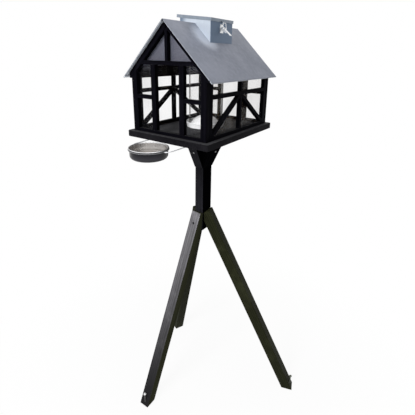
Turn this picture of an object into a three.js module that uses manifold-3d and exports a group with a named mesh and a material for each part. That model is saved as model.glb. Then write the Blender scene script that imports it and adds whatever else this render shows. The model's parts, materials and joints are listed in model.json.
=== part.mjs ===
// Bird table: a half-timbered feeding house under a folded sheet roof, on a post with three splayed legs.
// Lengths are millimetres and angles are degrees. +Z is up and the ridge of the roof runs along Y.
import * as THREE from 'three';
import { mergeVertices } from 'three/addons/utils/BufferGeometryUtils.js';
import Module from 'manifold-3d';

const wasm = await Module();
wasm.setup();

// Driving dimensions

const gap = 0.3; // clearance left between pieces that touch
const overrun = 30; // how far a cutting body reaches past what it cuts

// Heights inside the house are measured from the top face of the floor board.
const floor = { width: 434, length: 568, thickness: 27, cornerRadius: 9, aboveGround: 1490 };
const wall = { height: 257, sideLedge: 22, gableLedge: 21.5, gableDepth: 20, sideDepth: 18 };
const cornerPost = { faceWidth: 28, sideWidth: 22, groove: 1.6 };
const entrance = { width: 123 };
const gablePost = { width: 23.5 };
const gableSill = { height: 14 };
const gableRail = { height: 16, lift: 143 };
const sideSill = { height: 16 };
const sideRail = { height: 16, lift: 161.5 };
const centrePost = { width: 16 };
const brace = { width: 16 };
const tieBeam = { height: 16, overWall: 25 };
const kingPost = { width: 14 };
const rafter = { width: 21, tail: 12, ridgeCut: 2 };
const wallPlate = { height: 33 };
const pane = { thickness: 2, behindPost: 12, behindBeam: 8, topMargin: 1 };
const roof = { pitch: 44.1, eaveOverhang: 32.5, vergeOverhang: 16.5, sheet: 1.5, foldRadius: 3, foldSteps: 5 };

// The feeder is everything under the chimney lid; it stands a little behind the middle of the house.
const feeder = { offset: 9 };
const chimney = { width: 160, length: 172, sheet: 1.2, overRidge: 16, cornerRadius: 2 };
const lid = { pitch: 6.2, sheet: 1.2, rim: 11, clearance: 1, hingeCover: 9 };
const hinge = { radius: 4, pinRadius: 1.8, boreGap: 0.3, standOff: 2, knuckles: 5, knuckleLength: 24, leaf: 18 };
const silo = { clearance: 1, wall: 3, overRidge: 3, outletWidth: 44, outletHeight: 14, outlets: 4 };
const tray = { radius: 92, height: 24, wall: 2, base: 2.4, rim: 2.2, taper: 5 };

const latch = {
  offset: -4,
  plateWidth: 26,
  plateHeight: 34,
  sheet: 1.5,
  pivotUnderSeat: 37,
  pivotOut: 9,
  earHeight: 12,
  earThickness: 1.5,
  pinRadius: 1.5,
  leverWidth: 16,
  leverLength: 46,
  leverHeel: 5,
  leverAngle: 40,
  leverFlange: 5,
  loopWire: 1.3,
  loopReach: 9,
  loopHeight: 28,
  loopLean: 8,
};
const keeper = { width: 12, reach: 3, lip: 5, sheet: 1.2 };

const bowl = { rimRadius: 80, rimRoll: 2.4, depth: 45, floorRadius: 60, sheet: 1, clearance: 12 };
const holder = { wireRadius: 2.2, armOffset: 20, jogLength: 36, underBoard: 155 };

// Heights in the stand are measured from the ground.
const post = { width: 48, depth: 73, length: 514 };
const corbel = { height: 173, reach: 86, toe: 4 };
const leg = { width: 52, topThickness: 24, underBoard: 413 };
const frontLeg = { footReach: 387, footBearing: -104, sectionTurn: 14 };
const rightLeg = { footReach: 525, footBearing: 18, sectionTurn: 0 };
const leftLeg = { footReach: 335, footBearing: 155, sectionTurn: 0 };
const peg = { radius: 3.4, headRadius: 7.4, headHeight: 2.8, length: 76, pointLength: 9, entryHeight: 30, holeGap: 0.5 };

// Shares of a length or a circle
const halfShare = 0.5;
const pegPointShare = 0.3; // width of a peg's blunt point against its shank

// Finishes

const finishes = {
  timber: { color: 0x1d1c20, roughness: 0.62, metalness: 0 },
  standTimber: { color: 0x35342f, roughness: 0.66, metalness: 0 },
  zinc: { color: 0x858a94, roughness: 0.42, metalness: 0.85 },
  acrylic: { color: 0xdfe4e6, roughness: 0.05, metalness: 0, transparent: true, opacity: 0.3 },
  stainless: { color: 0xc4c2be, roughness: 0.2, metalness: 1 },
  brightWire: { color: 0xc9ced2, roughness: 0.3, metalness: 1 },
  whitePlastic: { color: 0xdddee0, roughness: 0.35, metalness: 0 },
};

// Derived places

const radian = Math.PI / 180;
const wallX = floor.width * halfShare - wall.sideLedge;
const wallY = floor.length * halfShare - wall.gableLedge;
const underSheet = roof.sheet + gap;
const underRafter = underSheet + rafter.width + gap;
const sideInner = wallX - wall.sideDepth;
const gableInner = wallY - wall.gableDepth;
const bayOuter = wallX - cornerPost.faceWidth;
const sideEnd = gableInner - cornerPost.sideWidth;
const entranceHalf = entrance.width * halfShare;
const gablePostOuter = entranceHalf + gablePost.width;
const gableSillTop = gap + gableSill.height;
const sideSillTop = gap + sideSill.height;
const tieBeamFoot = wall.height + tieBeam.overWall;
const tieBeamTop = tieBeamFoot + tieBeam.height;
const gableRailTop = gableRail.lift + gableRail.height;
const sideRailTop = sideRail.lift + sideRail.height;
const wallPlateFoot = wall.height - wallPlate.height;
const boardUnderside = floor.aboveGround - floor.thickness;

// The sheet lies on the outer edge of the side walls, so the ridge follows from their height, width and pitch.
const slopeRise = Math.tan(roof.pitch * radian);
const slopeThickness = 1 / Math.cos(roof.pitch * radian);
const ridgeHeight = wall.height + underSheet * slopeThickness + wallX * slopeRise;
const eaveReach = wallX + roof.eaveOverhang;
const vergeReach = wallY + roof.vergeOverhang;
const chimneyLowSide = ridgeHeight + chimney.overRidge;
const siloTop = ridgeHeight + silo.overRidge;
const siloRadius = chimney.width * halfShare - chimney.sheet - silo.clearance;
const latchPivotHeight = chimneyLowSide - latch.pivotUnderSeat;

// Height of a plane parallel to the roof, at x from the ridge and a square distance below the sheet's top
function slopeHeight(x, drop) {
  return ridgeHeight - Math.abs(x) * slopeRise - drop * slopeThickness;
}

// How far from the ridge that plane reaches a height
function slopeReach(height, drop) {
  return (slopeHeight(0, drop) - height) / slopeRise;
}

// Shape helpers

function outline(points) {
  return new THREE.Shape(points.map(([a, b]) => new THREE.Vector2(a, b)));
}

// Box between two corners, each an [x, y, z]
function block(low, high) {
  const size = high.map((value, axis) => value - low[axis]);
  const middle = high.map((value, axis) => (value + low[axis]) * halfShare);
  return new THREE.BoxGeometry(...size).translate(...middle);
}

function extrude(shape, depth, curveSegments = 6) {
  return new THREE.ExtrudeGeometry(shape, { depth, bevelEnabled: false, curveSegments });
}

// Outline drawn in plan, standing from one height to another
function standing(shape, from, to) {
  return extrude(shape, to - from).translate(0, 0, from);
}

// Outline drawn as [x, z], running along Y
function alongY(shape, from, to) {
  const axes = new THREE.Matrix4().makeBasis(
    new THREE.Vector3(1, 0, 0),
    new THREE.Vector3(0, 0, 1),
    new THREE.Vector3(0, -1, 0),
  );
  return extrude(shape, to - from).applyMatrix4(axes).translate(0, to, 0);
}

// Outline drawn as [y, z], running along X
function alongX(shape, from, to) {
  const axes = new THREE.Matrix4().makeBasis(
    new THREE.Vector3(0, 1, 0),
    new THREE.Vector3(0, 0, 1),
    new THREE.Vector3(1, 0, 0),
  );
  return extrude(shape, to - from).applyMatrix4(axes).translate(from, 0, 0);
}

// Upright round bar
function bar(radius, from, to, sides = 24) {
  return new THREE.CylinderGeometry(radius, radius, to - from, sides)
    .rotateX(90 * radian)
    .translate(0, 0, (from + to) * halfShare);
}

// Round bar along Y
function barAlongY(radius, from, to, sides = 16) {
  return new THREE.CylinderGeometry(radius, radius, to - from, sides).translate(0, (from + to) * halfShare, 0);
}

// Turned piece: the profile is a list of [radius, height] that closes on the axis or on itself
function turned(profile, sides) {
  const points = profile.map(([radius, height]) => new THREE.Vector2(radius, height));
  return new THREE.LatheGeometry(points, sides).rotateX(90 * radian);
}

// Round wire along a curve, its section an even number of sides
function wireAlong(curve, radius, steps, sides = 8) {
  const ring = new THREE.Shape();
  ring.absarc(0, 0, radius, 0, 360 * radian);
  return new THREE.ExtrudeGeometry(ring, {
    steps,
    extrudePath: curve,
    bevelEnabled: false,
    curveSegments: sides * halfShare,
  });
}

// Solid helpers

const mergeDistance = 1e-4 * gap;

function solid(geometry) {
  const plain = geometry.clone();
  plain.deleteAttribute('normal');
  plain.deleteAttribute('uv');
  const merged = mergeVertices(plain, mergeDistance);
  const triVerts = Uint32Array.from(merged.index.array);
  const vertProperties = Float32Array.from(merged.attributes.position.array);
  return new wasm.Manifold(new wasm.Mesh({ numProp: 3, vertProperties, triVerts }));
}

function geometryOf(body) {
  const mesh = body.getMesh();
  const geometry = new THREE.BufferGeometry();
  geometry.setAttribute('position', new THREE.BufferAttribute(Float32Array.from(mesh.vertProperties), 3));
  geometry.setIndex(new THREE.BufferAttribute(Uint32Array.from(mesh.triVerts), 1));
  geometry.computeVertexNormals();
  return geometry;
}

function cut(geometry, ...cutters) {
  return geometryOf(cutters.reduce((body, cutter) => body.subtract(solid(cutter)), solid(geometry)));
}

function join(...geometries) {
  return geometryOf(geometries.map(solid).reduce((body, other) => body.add(other)));
}

function piece(name, geometry, finish) {
  const mesh = new THREE.Mesh(geometry, new THREE.MeshStandardMaterial(finishes[finish]));
  mesh.name = name;
  return mesh;
}

// The two ends and the two sides of the house
const gables = [
  { word: 'front', y: -1 },
  { word: 'back', y: 1 },
];
const sides = [
  { word: 'left', x: -1 },
  { word: 'right', x: 1 },
];

// Lowest and highest of two values, whichever way round they come
function ordered(a, b) {
  return [Math.min(a, b), Math.max(a, b)];
}

// Everything above a plane parallel to the roof, used to cut timber tops to the slope
function aboveSlope(drop) {
  const reach = floor.width;
  const top = ridgeHeight + overrun;
  const chevron = [
    [-reach, slopeHeight(reach, drop)],
    [0, slopeHeight(0, drop)],
    [reach, slopeHeight(reach, drop)],
    [reach, top],
    [-reach, top],
  ];
  return alongY(outline(chevron), -floor.length, floor.length);
}

// Everything below such a plane
function belowSlope(drop) {
  const reach = floor.width;
  const bottom = Math.min(0, slopeHeight(reach, drop)) - overrun;
  const chevron = [
    [-reach, bottom],
    [reach, bottom],
    [reach, slopeHeight(reach, drop)],
    [0, slopeHeight(0, drop)],
    [-reach, slopeHeight(reach, drop)],
  ];
  return alongY(outline(chevron), -floor.length, floor.length);
}

// Floor

function floorBoard() {
  const x = floor.width * halfShare;
  const y = floor.length * halfShare;
  const r = floor.cornerRadius;
  const plan = new THREE.Shape();
  plan.absarc(x - r, y - r, r, 0, 90 * radian);
  plan.absarc(-x + r, y - r, r, 90 * radian, 180 * radian);
  plan.absarc(-x + r, -y + r, r, 180 * radian, 270 * radian);
  plan.absarc(x - r, -y + r, r, 270 * radian, 360 * radian);
  return piece('floor_board', standing(plan, -floor.thickness, 0), 'timber');
}

// Timber frame

// Two laths glued in an L, with a small groove outside at their joint and the top cut under the rafter
function cornerPosts() {
  const plan = [
    [bayOuter, wallY],
    [wallX, wallY],
    [wallX, gableInner + cornerPost.groove * halfShare],
    [wallX - cornerPost.groove * halfShare, gableInner],
    [wallX, gableInner - cornerPost.groove * halfShare],
    [wallX, sideEnd],
    [sideInner, sideEnd],
    [sideInner, gableInner],
    [bayOuter, gableInner],
  ];
  return gables.flatMap((gable) =>
    sides.map((side) => {
      const shape = outline(plan.map(([x, y]) => [x * side.x, y * gable.y]));
      const body = cut(standing(shape, gap, ridgeHeight), aboveSlope(underRafter));
      return piece(`corner_post_${gable.word}_${side.word}`, body, 'timber');
    }),
  );
}

function gablePosts() {
  return gables.flatMap((gable) =>
    sides.map((side) => {
      const [x0, x1] = ordered(entranceHalf * side.x, gablePostOuter * side.x);
      const [y0, y1] = ordered(gableInner * gable.y, wallY * gable.y);
      const body = block([x0, y0, gableSillTop + gap], [x1, y1, tieBeamFoot - gap]);
      return piece(`gable_post_${gable.word}_${side.word}`, body, 'timber');
    }),
  );
}

function gableRails() {
  return gables.flatMap((gable) =>
    sides.map((side) => {
      const [x0, x1] = ordered((gablePostOuter + gap) * side.x, (bayOuter - gap) * side.x);
      const [y0, y1] = ordered(gableInner * gable.y, wallY * gable.y);
      const body = block([x0, y0, gableRail.lift], [x1, y1, gableRailTop]);
      return piece(`gable_rail_${gable.word}_${side.word}`, body, 'timber');
    }),
  );
}

function gableSills() {
  return gables.map((gable) => {
    const [y0, y1] = ordered(gableInner * gable.y, wallY * gable.y);
    const body = block([gap - bayOuter, y0, gap], [bayOuter - gap, y1, gableSillTop]);
    return piece(`gable_sill_${gable.word}`, body, 'timber');
  });
}

function sideSills() {
  return sides.map((side) => {
    const [x0, x1] = ordered(sideInner * side.x, wallX * side.x);
    const body = block([x0, gap - sideEnd, gap], [x1, sideEnd - gap, sideSillTop]);
    return piece(`side_sill_${side.word}`, body, 'timber');
  });
}

// The side rail runs from corner to corner and is halved over the centre post
function sideRails() {
  return sides.map((side) => {
    const halving = (sideInner + wallX + gap) * halfShare;
    const [x0, x1] = ordered(sideInner * side.x, wallX * side.x);
    const [n0, n1] = ordered((sideInner - overrun) * side.x, halving * side.x);
    const notchHalf = centrePost.width * halfShare + gap;
    const notch = block([n0, -notchHalf, sideRail.lift - overrun], [n1, notchHalf, sideRailTop + overrun]);
    const rail = block([x0, gap - sideEnd, sideRail.lift], [x1, sideEnd - gap, sideRailTop]);
    return piece(`side_rail_${side.word}`, cut(rail, notch), 'timber');
  });
}

function centrePosts() {
  return sides.map((side) => {
    const halving = (sideInner + wallX - gap) * halfShare;
    const half = centrePost.width * halfShare;
    const [x0, x1] = ordered(sideInner * side.x, wallX * side.x);
    const [n0, n1] = ordered(halving * side.x, (wallX + overrun) * side.x);
    const notch = block([n0, -half - overrun, sideRail.lift - gap], [n1, half + overrun, sideRailTop + gap]);
    const upright = block([x0, -half, sideSillTop + gap], [x1, half, wallPlateFoot - gap]);
    return piece(`side_centre_post_${side.word}`, cut(upright, notch), 'timber');
  });
}

// A brace fills a slanting strip across its bay and is cut square into the two corners that it runs between
function braces() {
  const inner = centrePost.width * halfShare + gap;
  const outer = sideEnd - gap;
  const high = sideRail.lift - gap;
  const low = sideSillTop + gap;
  const length = Math.hypot(outer - inner, high - low);
  const alongFlat = (brace.width * halfShare * length) / (high - low);
  const alongUpright = (brace.width * halfShare * length) / (outer - inner);
  const points = [
    [inner, high],
    [inner, high - alongUpright],
    [outer - alongFlat, low],
    [outer, low],
    [outer, low + alongUpright],
    [inner + alongFlat, high],
  ];
  return sides.flatMap((side) =>
    gables.map((gable) => {
      const [x0, x1] = ordered(sideInner * side.x, wallX * side.x);
      const shape = outline(points.map(([y, z]) => [y * gable.y, z]));
      return piece(`brace_${side.word}_${gable.word}`, alongX(shape, x0, x1), 'timber');
    }),
  );
}

// The plate closes the side wall under the sheet, its top planed to the slope of the roof
function wallPlates() {
  const points = [
    [sideInner, wallPlateFoot],
    [wallX, wallPlateFoot],
    [wallX, slopeHeight(wallX, underSheet)],
    [sideInner, slopeHeight(sideInner, underSheet)],
  ];
  return sides.map((side) => {
    const shape = outline(points.map(([x, z]) => [x * side.x, z]));
    return piece(`wall_plate_${side.word}`, alongY(shape, gap - sideEnd, sideEnd - gap), 'timber');
  });
}

function tieBeams() {
  const shape = outline([
    [-slopeReach(tieBeamFoot, underRafter), tieBeamFoot],
    [slopeReach(tieBeamFoot, underRafter), tieBeamFoot],
    [slopeReach(tieBeamTop, underRafter), tieBeamTop],
    [-slopeReach(tieBeamTop, underRafter), tieBeamTop],
  ]);
  return gables.map((gable) => {
    const [y0, y1] = ordered(gableInner * gable.y, wallY * gable.y);
    return piece(`tie_beam_${gable.word}`, alongY(shape, y0, y1), 'timber');
  });
}

function kingPosts() {
  const half = kingPost.width * halfShare;
  const shape = outline([
    [-half, tieBeamTop + gap],
    [half, tieBeamTop + gap],
    [half, slopeHeight(half, underRafter)],
    [0, slopeHeight(0, underRafter)],
    [-half, slopeHeight(half, underRafter)],
  ]);
  return gables.map((gable) => {
    const [y0, y1] = ordered(gableInner * gable.y, wallY * gable.y);
    return piece(`king_post_${gable.word}`, alongY(shape, y0, y1), 'timber');
  });
}

// Rafters are cut plumb at the ridge and plumb and level at the tail, where the level cut lines up with the wall plate
function rafters() {
  const tail = wallX + rafter.tail;
  const under = underSheet + rafter.width;
  const tailFoot = Math.max(wallPlateFoot, slopeHeight(tail, under));
  const points = [
    [rafter.ridgeCut, slopeHeight(rafter.ridgeCut, under)],
    [slopeReach(tailFoot, under), tailFoot],
    [tail, tailFoot],
    [tail, slopeHeight(tail, underSheet)],
    [rafter.ridgeCut, slopeHeight(rafter.ridgeCut, underSheet)],
  ];
  return gables.flatMap((gable) =>
    sides.map((side) => {
      const [y0, y1] = ordered(gableInner * gable.y, wallY * gable.y);
      const shape = outline(points.map(([x, z]) => [x * side.x, z]));
      return piece(`rafter_${gable.word}_${side.word}`, alongY(shape, y0, y1), 'timber');
    }),
  );
}

// Glazing

const glazingX = sideInner - gap;
const glazingY = gableInner - gap;

function sidePanes() {
  const end = glazingY - pane.thickness - gap;
  const top = slopeHeight(glazingX, underSheet + pane.topMargin);
  return sides.map((side) => {
    const [x0, x1] = ordered((glazingX - pane.thickness) * side.x, glazingX * side.x);
    return piece(`side_pane_${side.word}`, block([x0, -end, gap], [x1, end, top]), 'acrylic');
  });
}

// One sheet glazes both bays and the triangle above, with the bird's way in cut out from below
function gablePanes() {
  const inner = entranceHalf + pane.behindPost;
  const notchTop = tieBeamFoot + pane.behindBeam;
  const drop = underSheet + pane.topMargin;
  const shape = outline([
    [-glazingX, gap],
    [-inner, gap],
    [-inner, notchTop],
    [inner, notchTop],
    [inner, gap],
    [glazingX, gap],
    [glazingX, slopeHeight(glazingX, drop)],
    [0, slopeHeight(0, drop)],
    [-glazingX, slopeHeight(glazingX, drop)],
  ]);
  return gables.map((gable) => {
    const [y0, y1] = ordered((glazingY - pane.thickness) * gable.y, glazingY * gable.y);
    return piece(`gable_pane_${gable.word}`, alongY(shape, y0, y1), 'acrylic');
  });
}

// Roof

// One face of the folded sheet as [x, z], from the left eave over the rounded ridge to the right eave
function foldedLine(drop, radius) {
  const centre = slopeHeight(0, drop + radius);
  const arc = Array.from({ length: roof.foldSteps + 1 }, (_, step) => {
    const angle = (90 + roof.pitch - (2 * roof.pitch * step) / roof.foldSteps) * radian;
    return [radius * Math.cos(angle), centre + radius * Math.sin(angle)];
  });
  const eave = slopeHeight(eaveReach, drop);
  return [[-eaveReach, eave], ...arc, [eaveReach, eave]];
}

// Folded sheet with a round hole that the silo tube passes
function roofSheet() {
  const top = foldedLine(0, roof.foldRadius);
  const underside = foldedLine(roof.sheet, roof.foldRadius - roof.sheet);
  const sheet = alongY(outline([...top, ...underside.reverse()]), -vergeReach, vergeReach);
  const throat = bar(siloRadius + 2 * gap, wallPlateFoot, ridgeHeight + overrun, 48).translate(0, feeder.offset, 0);
  return piece('roof_sheet', cut(sheet, throat), 'zinc');
}

// Chimney and lid

const lidTilt = lid.pitch * radian;
const chimneyX = chimney.width * halfShare;
const chimneyY = chimney.length * halfShare;
const seatMiddle = chimneyLowSide + chimneyX * Math.tan(lidTilt);

// In the lid's own frame the chimney's top edges lie at z = 0 and X runs down the slope.
const lidHalf = chimneyX / Math.cos(lidTilt);
const hingeX = -lidHalf - hinge.standOff - hinge.radius;
const hingeZ = -hinge.radius;

function roundedPlan(x, y, radius) {
  const plan = new THREE.Shape();
  plan.absarc(x - radius, y - radius, radius, 0, 90 * radian);
  plan.absarc(-x + radius, y - radius, radius, 90 * radian, 180 * radian);
  plan.absarc(-x + radius, -y + radius, radius, 180 * radian, 270 * radian);
  plan.absarc(x - radius, -y + radius, radius, 270 * radian, 360 * radian);
  return plan;
}

// Where knuckle number index starts and ends along the pin
function knuckleSpan(index) {
  const pitch = hinge.knuckleLength + gap;
  const start = (index - hinge.knuckles * halfShare) * pitch;
  return [start, start + hinge.knuckleLength];
}

const fixedKnuckles = Array.from({ length: hinge.knuckles }, (_, index) => index).filter((index) => index % 2 === 0);
const movingKnuckles = Array.from({ length: hinge.knuckles }, (_, index) => index).filter((index) => index % 2 === 1);

function inLidFrame(geometry) {
  return geometry.rotateY(lidTilt).translate(0, 0, seatMiddle);
}

// Square sheet tube, its foot cut to sit on both slopes and its top cut to the pitch of the lid
function chimneyBody() {
  const high = ridgeHeight + chimney.width;
  const shell = standing(roundedPlan(chimneyX, chimneyY, chimney.cornerRadius), 0, high);
  const innerRadius = chimney.cornerRadius - chimney.sheet;
  const inside = roundedPlan(chimneyX - chimney.sheet, chimneyY - chimney.sheet, innerRadius);
  const hollow = standing(inside, -overrun, high + overrun);
  const reach = chimney.width;
  const sky = inLidFrame(block([-reach, -reach, 0], [reach, reach, reach + overrun]));
  const tube = cut(shell, hollow, belowSlope(-gap), sky);
  const leaves = fixedKnuckles.flatMap((index) => {
    const [from, to] = knuckleSpan(index);
    const barrel = barAlongY(hinge.radius, from, to).translate(hingeX, 0, hingeZ);
    const web = block([hingeX, from, hingeZ - hinge.radius], [-lidHalf, to, hingeZ - hinge.radius + chimney.sheet]);
    return [inLidFrame(barrel), inLidFrame(web), wallLeaf(from, to)];
  });
  const pinEnd = knuckleSpan(hinge.knuckles - 1)[1];
  const pin = inLidFrame(barAlongY(hinge.pinRadius, -pinEnd, pinEnd).translate(hingeX, 0, hingeZ));
  const body = join(tube, ...leaves, pin).translate(0, feeder.offset, 0);
  return piece('chimney', body, 'zinc');
}

// Strap of the hinge, flat on the outside of the chimney's high wall
function wallLeaf(from, to) {
  const seatHigh = seatMiddle + chimneyX * Math.tan(lidTilt);
  const top = seatHigh - hinge.radius;
  const strap = chimney.sheet;
  return block([-chimneyX - strap, from, top - hinge.leaf], [-chimneyX + strap * halfShare, to, top]);
}

// Folded cap with a rim on three sides, moving knuckles under its cover strip, and the keeper for the latch
function lidCap() {
  const x = lidHalf + lid.rim * Math.sin(lidTilt) + lid.clearance + lid.sheet;
  const y = chimneyY + lid.clearance + lid.sheet;
  const back = hingeX - lid.hingeCover;
  const top = gap + lid.sheet;
  const shell = block([back, -y, -lid.rim], [x, y, top]);
  const hollow = block([back - overrun, lid.sheet - y, -lid.rim - overrun], [x - lid.sheet, y - lid.sheet, gap]);
  const knuckleParts = movingKnuckles.flatMap((index) => {
    const [from, to] = knuckleSpan(index);
    const barrel = barAlongY(hinge.radius, from, to).translate(hingeX, 0, hingeZ);
    const web = block([hingeX - hinge.pinRadius, from, hingeZ], [hingeX + hinge.pinRadius, to, top - lid.sheet * halfShare]);
    return [barrel, web];
  });
  const bore = barAlongY(hinge.pinRadius + hinge.boreGap, -chimneyY, chimneyY).translate(hingeX, 0, hingeZ);
  const cap = join(cut(shell, hollow), ...knuckleParts, keeperHook(x));
  const mesh = piece('lid', cut(cap, bore), 'zinc');
  mesh.rotation.y = lidTilt;
  mesh.position.set(0, feeder.offset, seatMiddle);
  return mesh;
}

// Small hook on the low rim, lip up, that the latch loop closes over
function keeperHook(rimX) {
  const [from, to] = [latch.offset - keeper.width * halfShare, latch.offset + keeper.width * halfShare];
  const foot = -lid.rim;
  const ledge = block([rimX - keeper.sheet * halfShare, from, foot], [rimX + keeper.reach, to, foot + keeper.sheet]);
  const lipX = rimX + keeper.reach;
  const lip = block([lipX, from, foot], [lipX + keeper.sheet, to, foot + keeper.lip]);
  return join(ledge, block([lipX - gap, from, foot], [lipX + keeper.sheet, to, foot + keeper.sheet]), lip);
}

// Latch, on the chimney's low wall

const latchFace = chimneyX + gap;
const latchPivotX = latchFace + latch.sheet + latch.pivotOut;
const latchY = feeder.offset + latch.offset;
const earInner = latch.leverWidth * halfShare + gap;
const earOuter = earInner + latch.earThickness;

// Base plate with two ears and the pin between them
function latchPlate() {
  const half = latch.plateWidth * halfShare;
  const low = latchPivotHeight - latch.plateHeight * halfShare;
  const plate = block([latchFace, -half, low], [latchFace + latch.sheet, half, low + latch.plateHeight]);
  const earShape = new THREE.Shape();
  const nose = latch.earHeight * halfShare;
  earShape.moveTo(latchFace + latch.sheet * halfShare, latchPivotHeight - nose);
  earShape.absarc(latchPivotX, latchPivotHeight, nose, -90 * radian, 90 * radian);
  earShape.lineTo(latchFace + latch.sheet * halfShare, latchPivotHeight + nose);
  const ears = [-1, 1].map((way) => {
    const [from, to] = ordered(earInner * way, earOuter * way);
    return alongY(earShape, from, to);
  });
  const pin = barAlongY(latch.pinRadius, -earOuter, earOuter).translate(latchPivotX, 0, latchPivotHeight);
  return piece('latch_plate', join(plate, ...ears, pin).translate(0, latchY, 0), 'brightWire');
}

// Channel lever, drawn pointing along +X from its pivot and then turned down to its resting angle
function latchLever() {
  const half = latch.leverWidth * halfShare;
  const sheet = latch.sheet;
  const top = latch.pinRadius + sheet + gap;
  const web = block([-latch.leverHeel, -half, top - sheet], [latch.leverLength, half, top]);
  const cheekShape = new THREE.Shape();
  cheekShape.absarc(0, 0, latch.leverHeel, 90 * radian, 270 * radian);
  cheekShape.lineTo(latch.leverLength * halfShare, -latch.leverFlange);
  cheekShape.lineTo(latch.leverLength * halfShare + latch.leverFlange, top - sheet * halfShare);
  cheekShape.lineTo(0, top - sheet * halfShare);
  const cheeks = [-1, 1].map((way) => {
    const [from, to] = ordered((half - sheet) * way, half * way);
    return alongY(cheekShape, from, to);
  });
  const bore = barAlongY(latch.pinRadius + gap, -earOuter, earOuter);
  const stub = latch.loopWire + gap;
  const loopBore = barAlongY(stub, -earOuter, earOuter).translate(latch.loopReach, 0, 0);
  const mesh = piece('latch_lever', cut(join(web, ...cheeks), bore, loopBore), 'brightWire');
  mesh.rotation.y = latch.leverAngle * radian;
  mesh.position.set(latchPivotX, latchY, latchPivotHeight);
  return mesh;
}

// Wire loop, hinged in the lever's cheeks and standing in front of the keeper
function latchLoop() {
  const half = earOuter + latch.loopWire + gap;
  const tall = latch.loopHeight;
  const bend = latch.loopWire * 3;
  const path = new THREE.CurvePath();
  const corner = (y, z) => new THREE.Vector3(0, y, z);
  const inner = latch.leverWidth * halfShare - latch.sheet * 2;
  const points = [
    corner(-inner, 0),
    corner(-half, 0),
    corner(-half, tall),
    corner(half, tall),
    corner(half, 0),
    corner(inner, 0),
  ];
  points.slice(1).forEach((point, index) => {
    const start = points[index];
    const direction = point.clone().sub(start).normalize().multiplyScalar(bend);
    const from = index === 0 ? start : start.clone().add(direction);
    const isLast = index === points.length - 2;
    const to = isLast ? point : point.clone().sub(direction);
    path.add(new THREE.LineCurve3(from, to));
    if (!isLast) {
      const next = points[index + 2].clone().sub(point).normalize().multiplyScalar(bend);
      path.add(new THREE.QuadraticBezierCurve3(to, point, point.clone().add(next)));
    }
  });
  const wire = wireAlong(path, latch.loopWire, 60);
  const mesh = piece('latch_loop', wire, 'brightWire');
  const leverTurn = latch.leverAngle * radian;
  mesh.rotation.y = -latch.loopLean * radian;
  mesh.position.set(
    latchPivotX + latch.loopReach * Math.cos(leverTurn),
    latchY,
    latchPivotHeight - latch.loopReach * Math.sin(leverTurn),
  );
  return mesh;
}

// Silo and tray

// Clear tube standing in the tray, with arched outlets that let the seed run out
function siloTube() {
  const foot = gap + tray.base + gap;
  const wallInner = siloRadius - silo.wall;
  const profile = [
    [wallInner, foot],
    [siloRadius, foot],
    [siloRadius, siloTop],
    [wallInner, siloTop],
    [wallInner, foot],
  ];
  const half = silo.outletWidth * halfShare;
  const arch = new THREE.Shape();
  arch.moveTo(-half, foot - overrun);
  arch.lineTo(half, foot - overrun);
  arch.lineTo(half, foot);
  arch.absellipse(0, foot, half, silo.outletHeight, 0, 180 * radian);
  arch.lineTo(-half, foot);
  const outlets = Array.from({ length: silo.outlets }, (_, index) =>
    alongX(arch, siloRadius - silo.wall * 4, siloRadius + overrun).rotateZ((360 * radian * index) / silo.outlets),
  );
  const tube = cut(turned(profile, 64), ...outlets).translate(0, feeder.offset, 0);
  return piece('silo_tube', tube, 'acrylic');
}

function seedTray() {
  const r = tray.radius;
  const top = gap + tray.height;
  const lip = tray.rim;
  const profile = [
    [0, gap],
    [r - tray.taper, gap],
    [r - lip, top - lip],
    [r, top - lip],
    [r, top],
    [r - lip - tray.wall, top],
    [r - tray.taper - tray.wall, gap + tray.base],
    [0, gap + tray.base],
  ];
  return piece('seed_tray', turned(profile, 56).translate(0, feeder.offset, 0), 'whitePlastic');
}

// Drinking bowl and its wire holder

const bowlOut = floor.length * halfShare + bowl.clearance + bowl.rimRadius;
const wireMiddle = -floor.thickness - gap - holder.wireRadius;
const rimMiddle = wireMiddle + holder.wireRadius + bowl.rimRoll + gap;
const rimTop = rimMiddle + bowl.rimRoll;
const ringRadius = bowl.rimRadius - bowl.rimRoll * halfShare;

// Spun bowl with a rounded heel and a rolled rim
function drinkingBowl() {
  const bodyRadius = ringRadius - holder.wireRadius - 2 * gap;
  const bottom = rimTop - bowl.depth;
  const heel = bodyRadius - bowl.floorRadius;
  const arcSteps = 5;
  const heelArc = (radius, inset) =>
    Array.from({ length: arcSteps + 1 }, (_, step) => {
      const angle = ((90 * step) / arcSteps - 90) * radian;
      return [bowl.floorRadius + radius * Math.cos(angle), bottom + heel + radius * Math.sin(angle)].map(
        (value, axis) => (axis === 0 ? value + inset : value),
      );
    });
  const rollSteps = 8;
  const roll = Array.from({ length: rollSteps + 1 }, (_, step) => {
    const angle = (-180 + (270 * step) / rollSteps + 90) * radian;
    return [bowl.rimRadius - bowl.rimRoll + bowl.rimRoll * Math.cos(angle), rimMiddle + bowl.rimRoll * Math.sin(angle)];
  });
  const profile = [
    [0, bottom],
    ...heelArc(heel, 0),
    [bodyRadius, rimMiddle - bowl.rimRoll],
    ...roll,
    ...heelArc(heel - bowl.sheet, 0).reverse(),
    [0, bottom + bowl.sheet],
  ];
  return piece('bowl', turned(profile, 56).translate(0, -bowlOut, 0), 'stainless');
}

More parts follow.
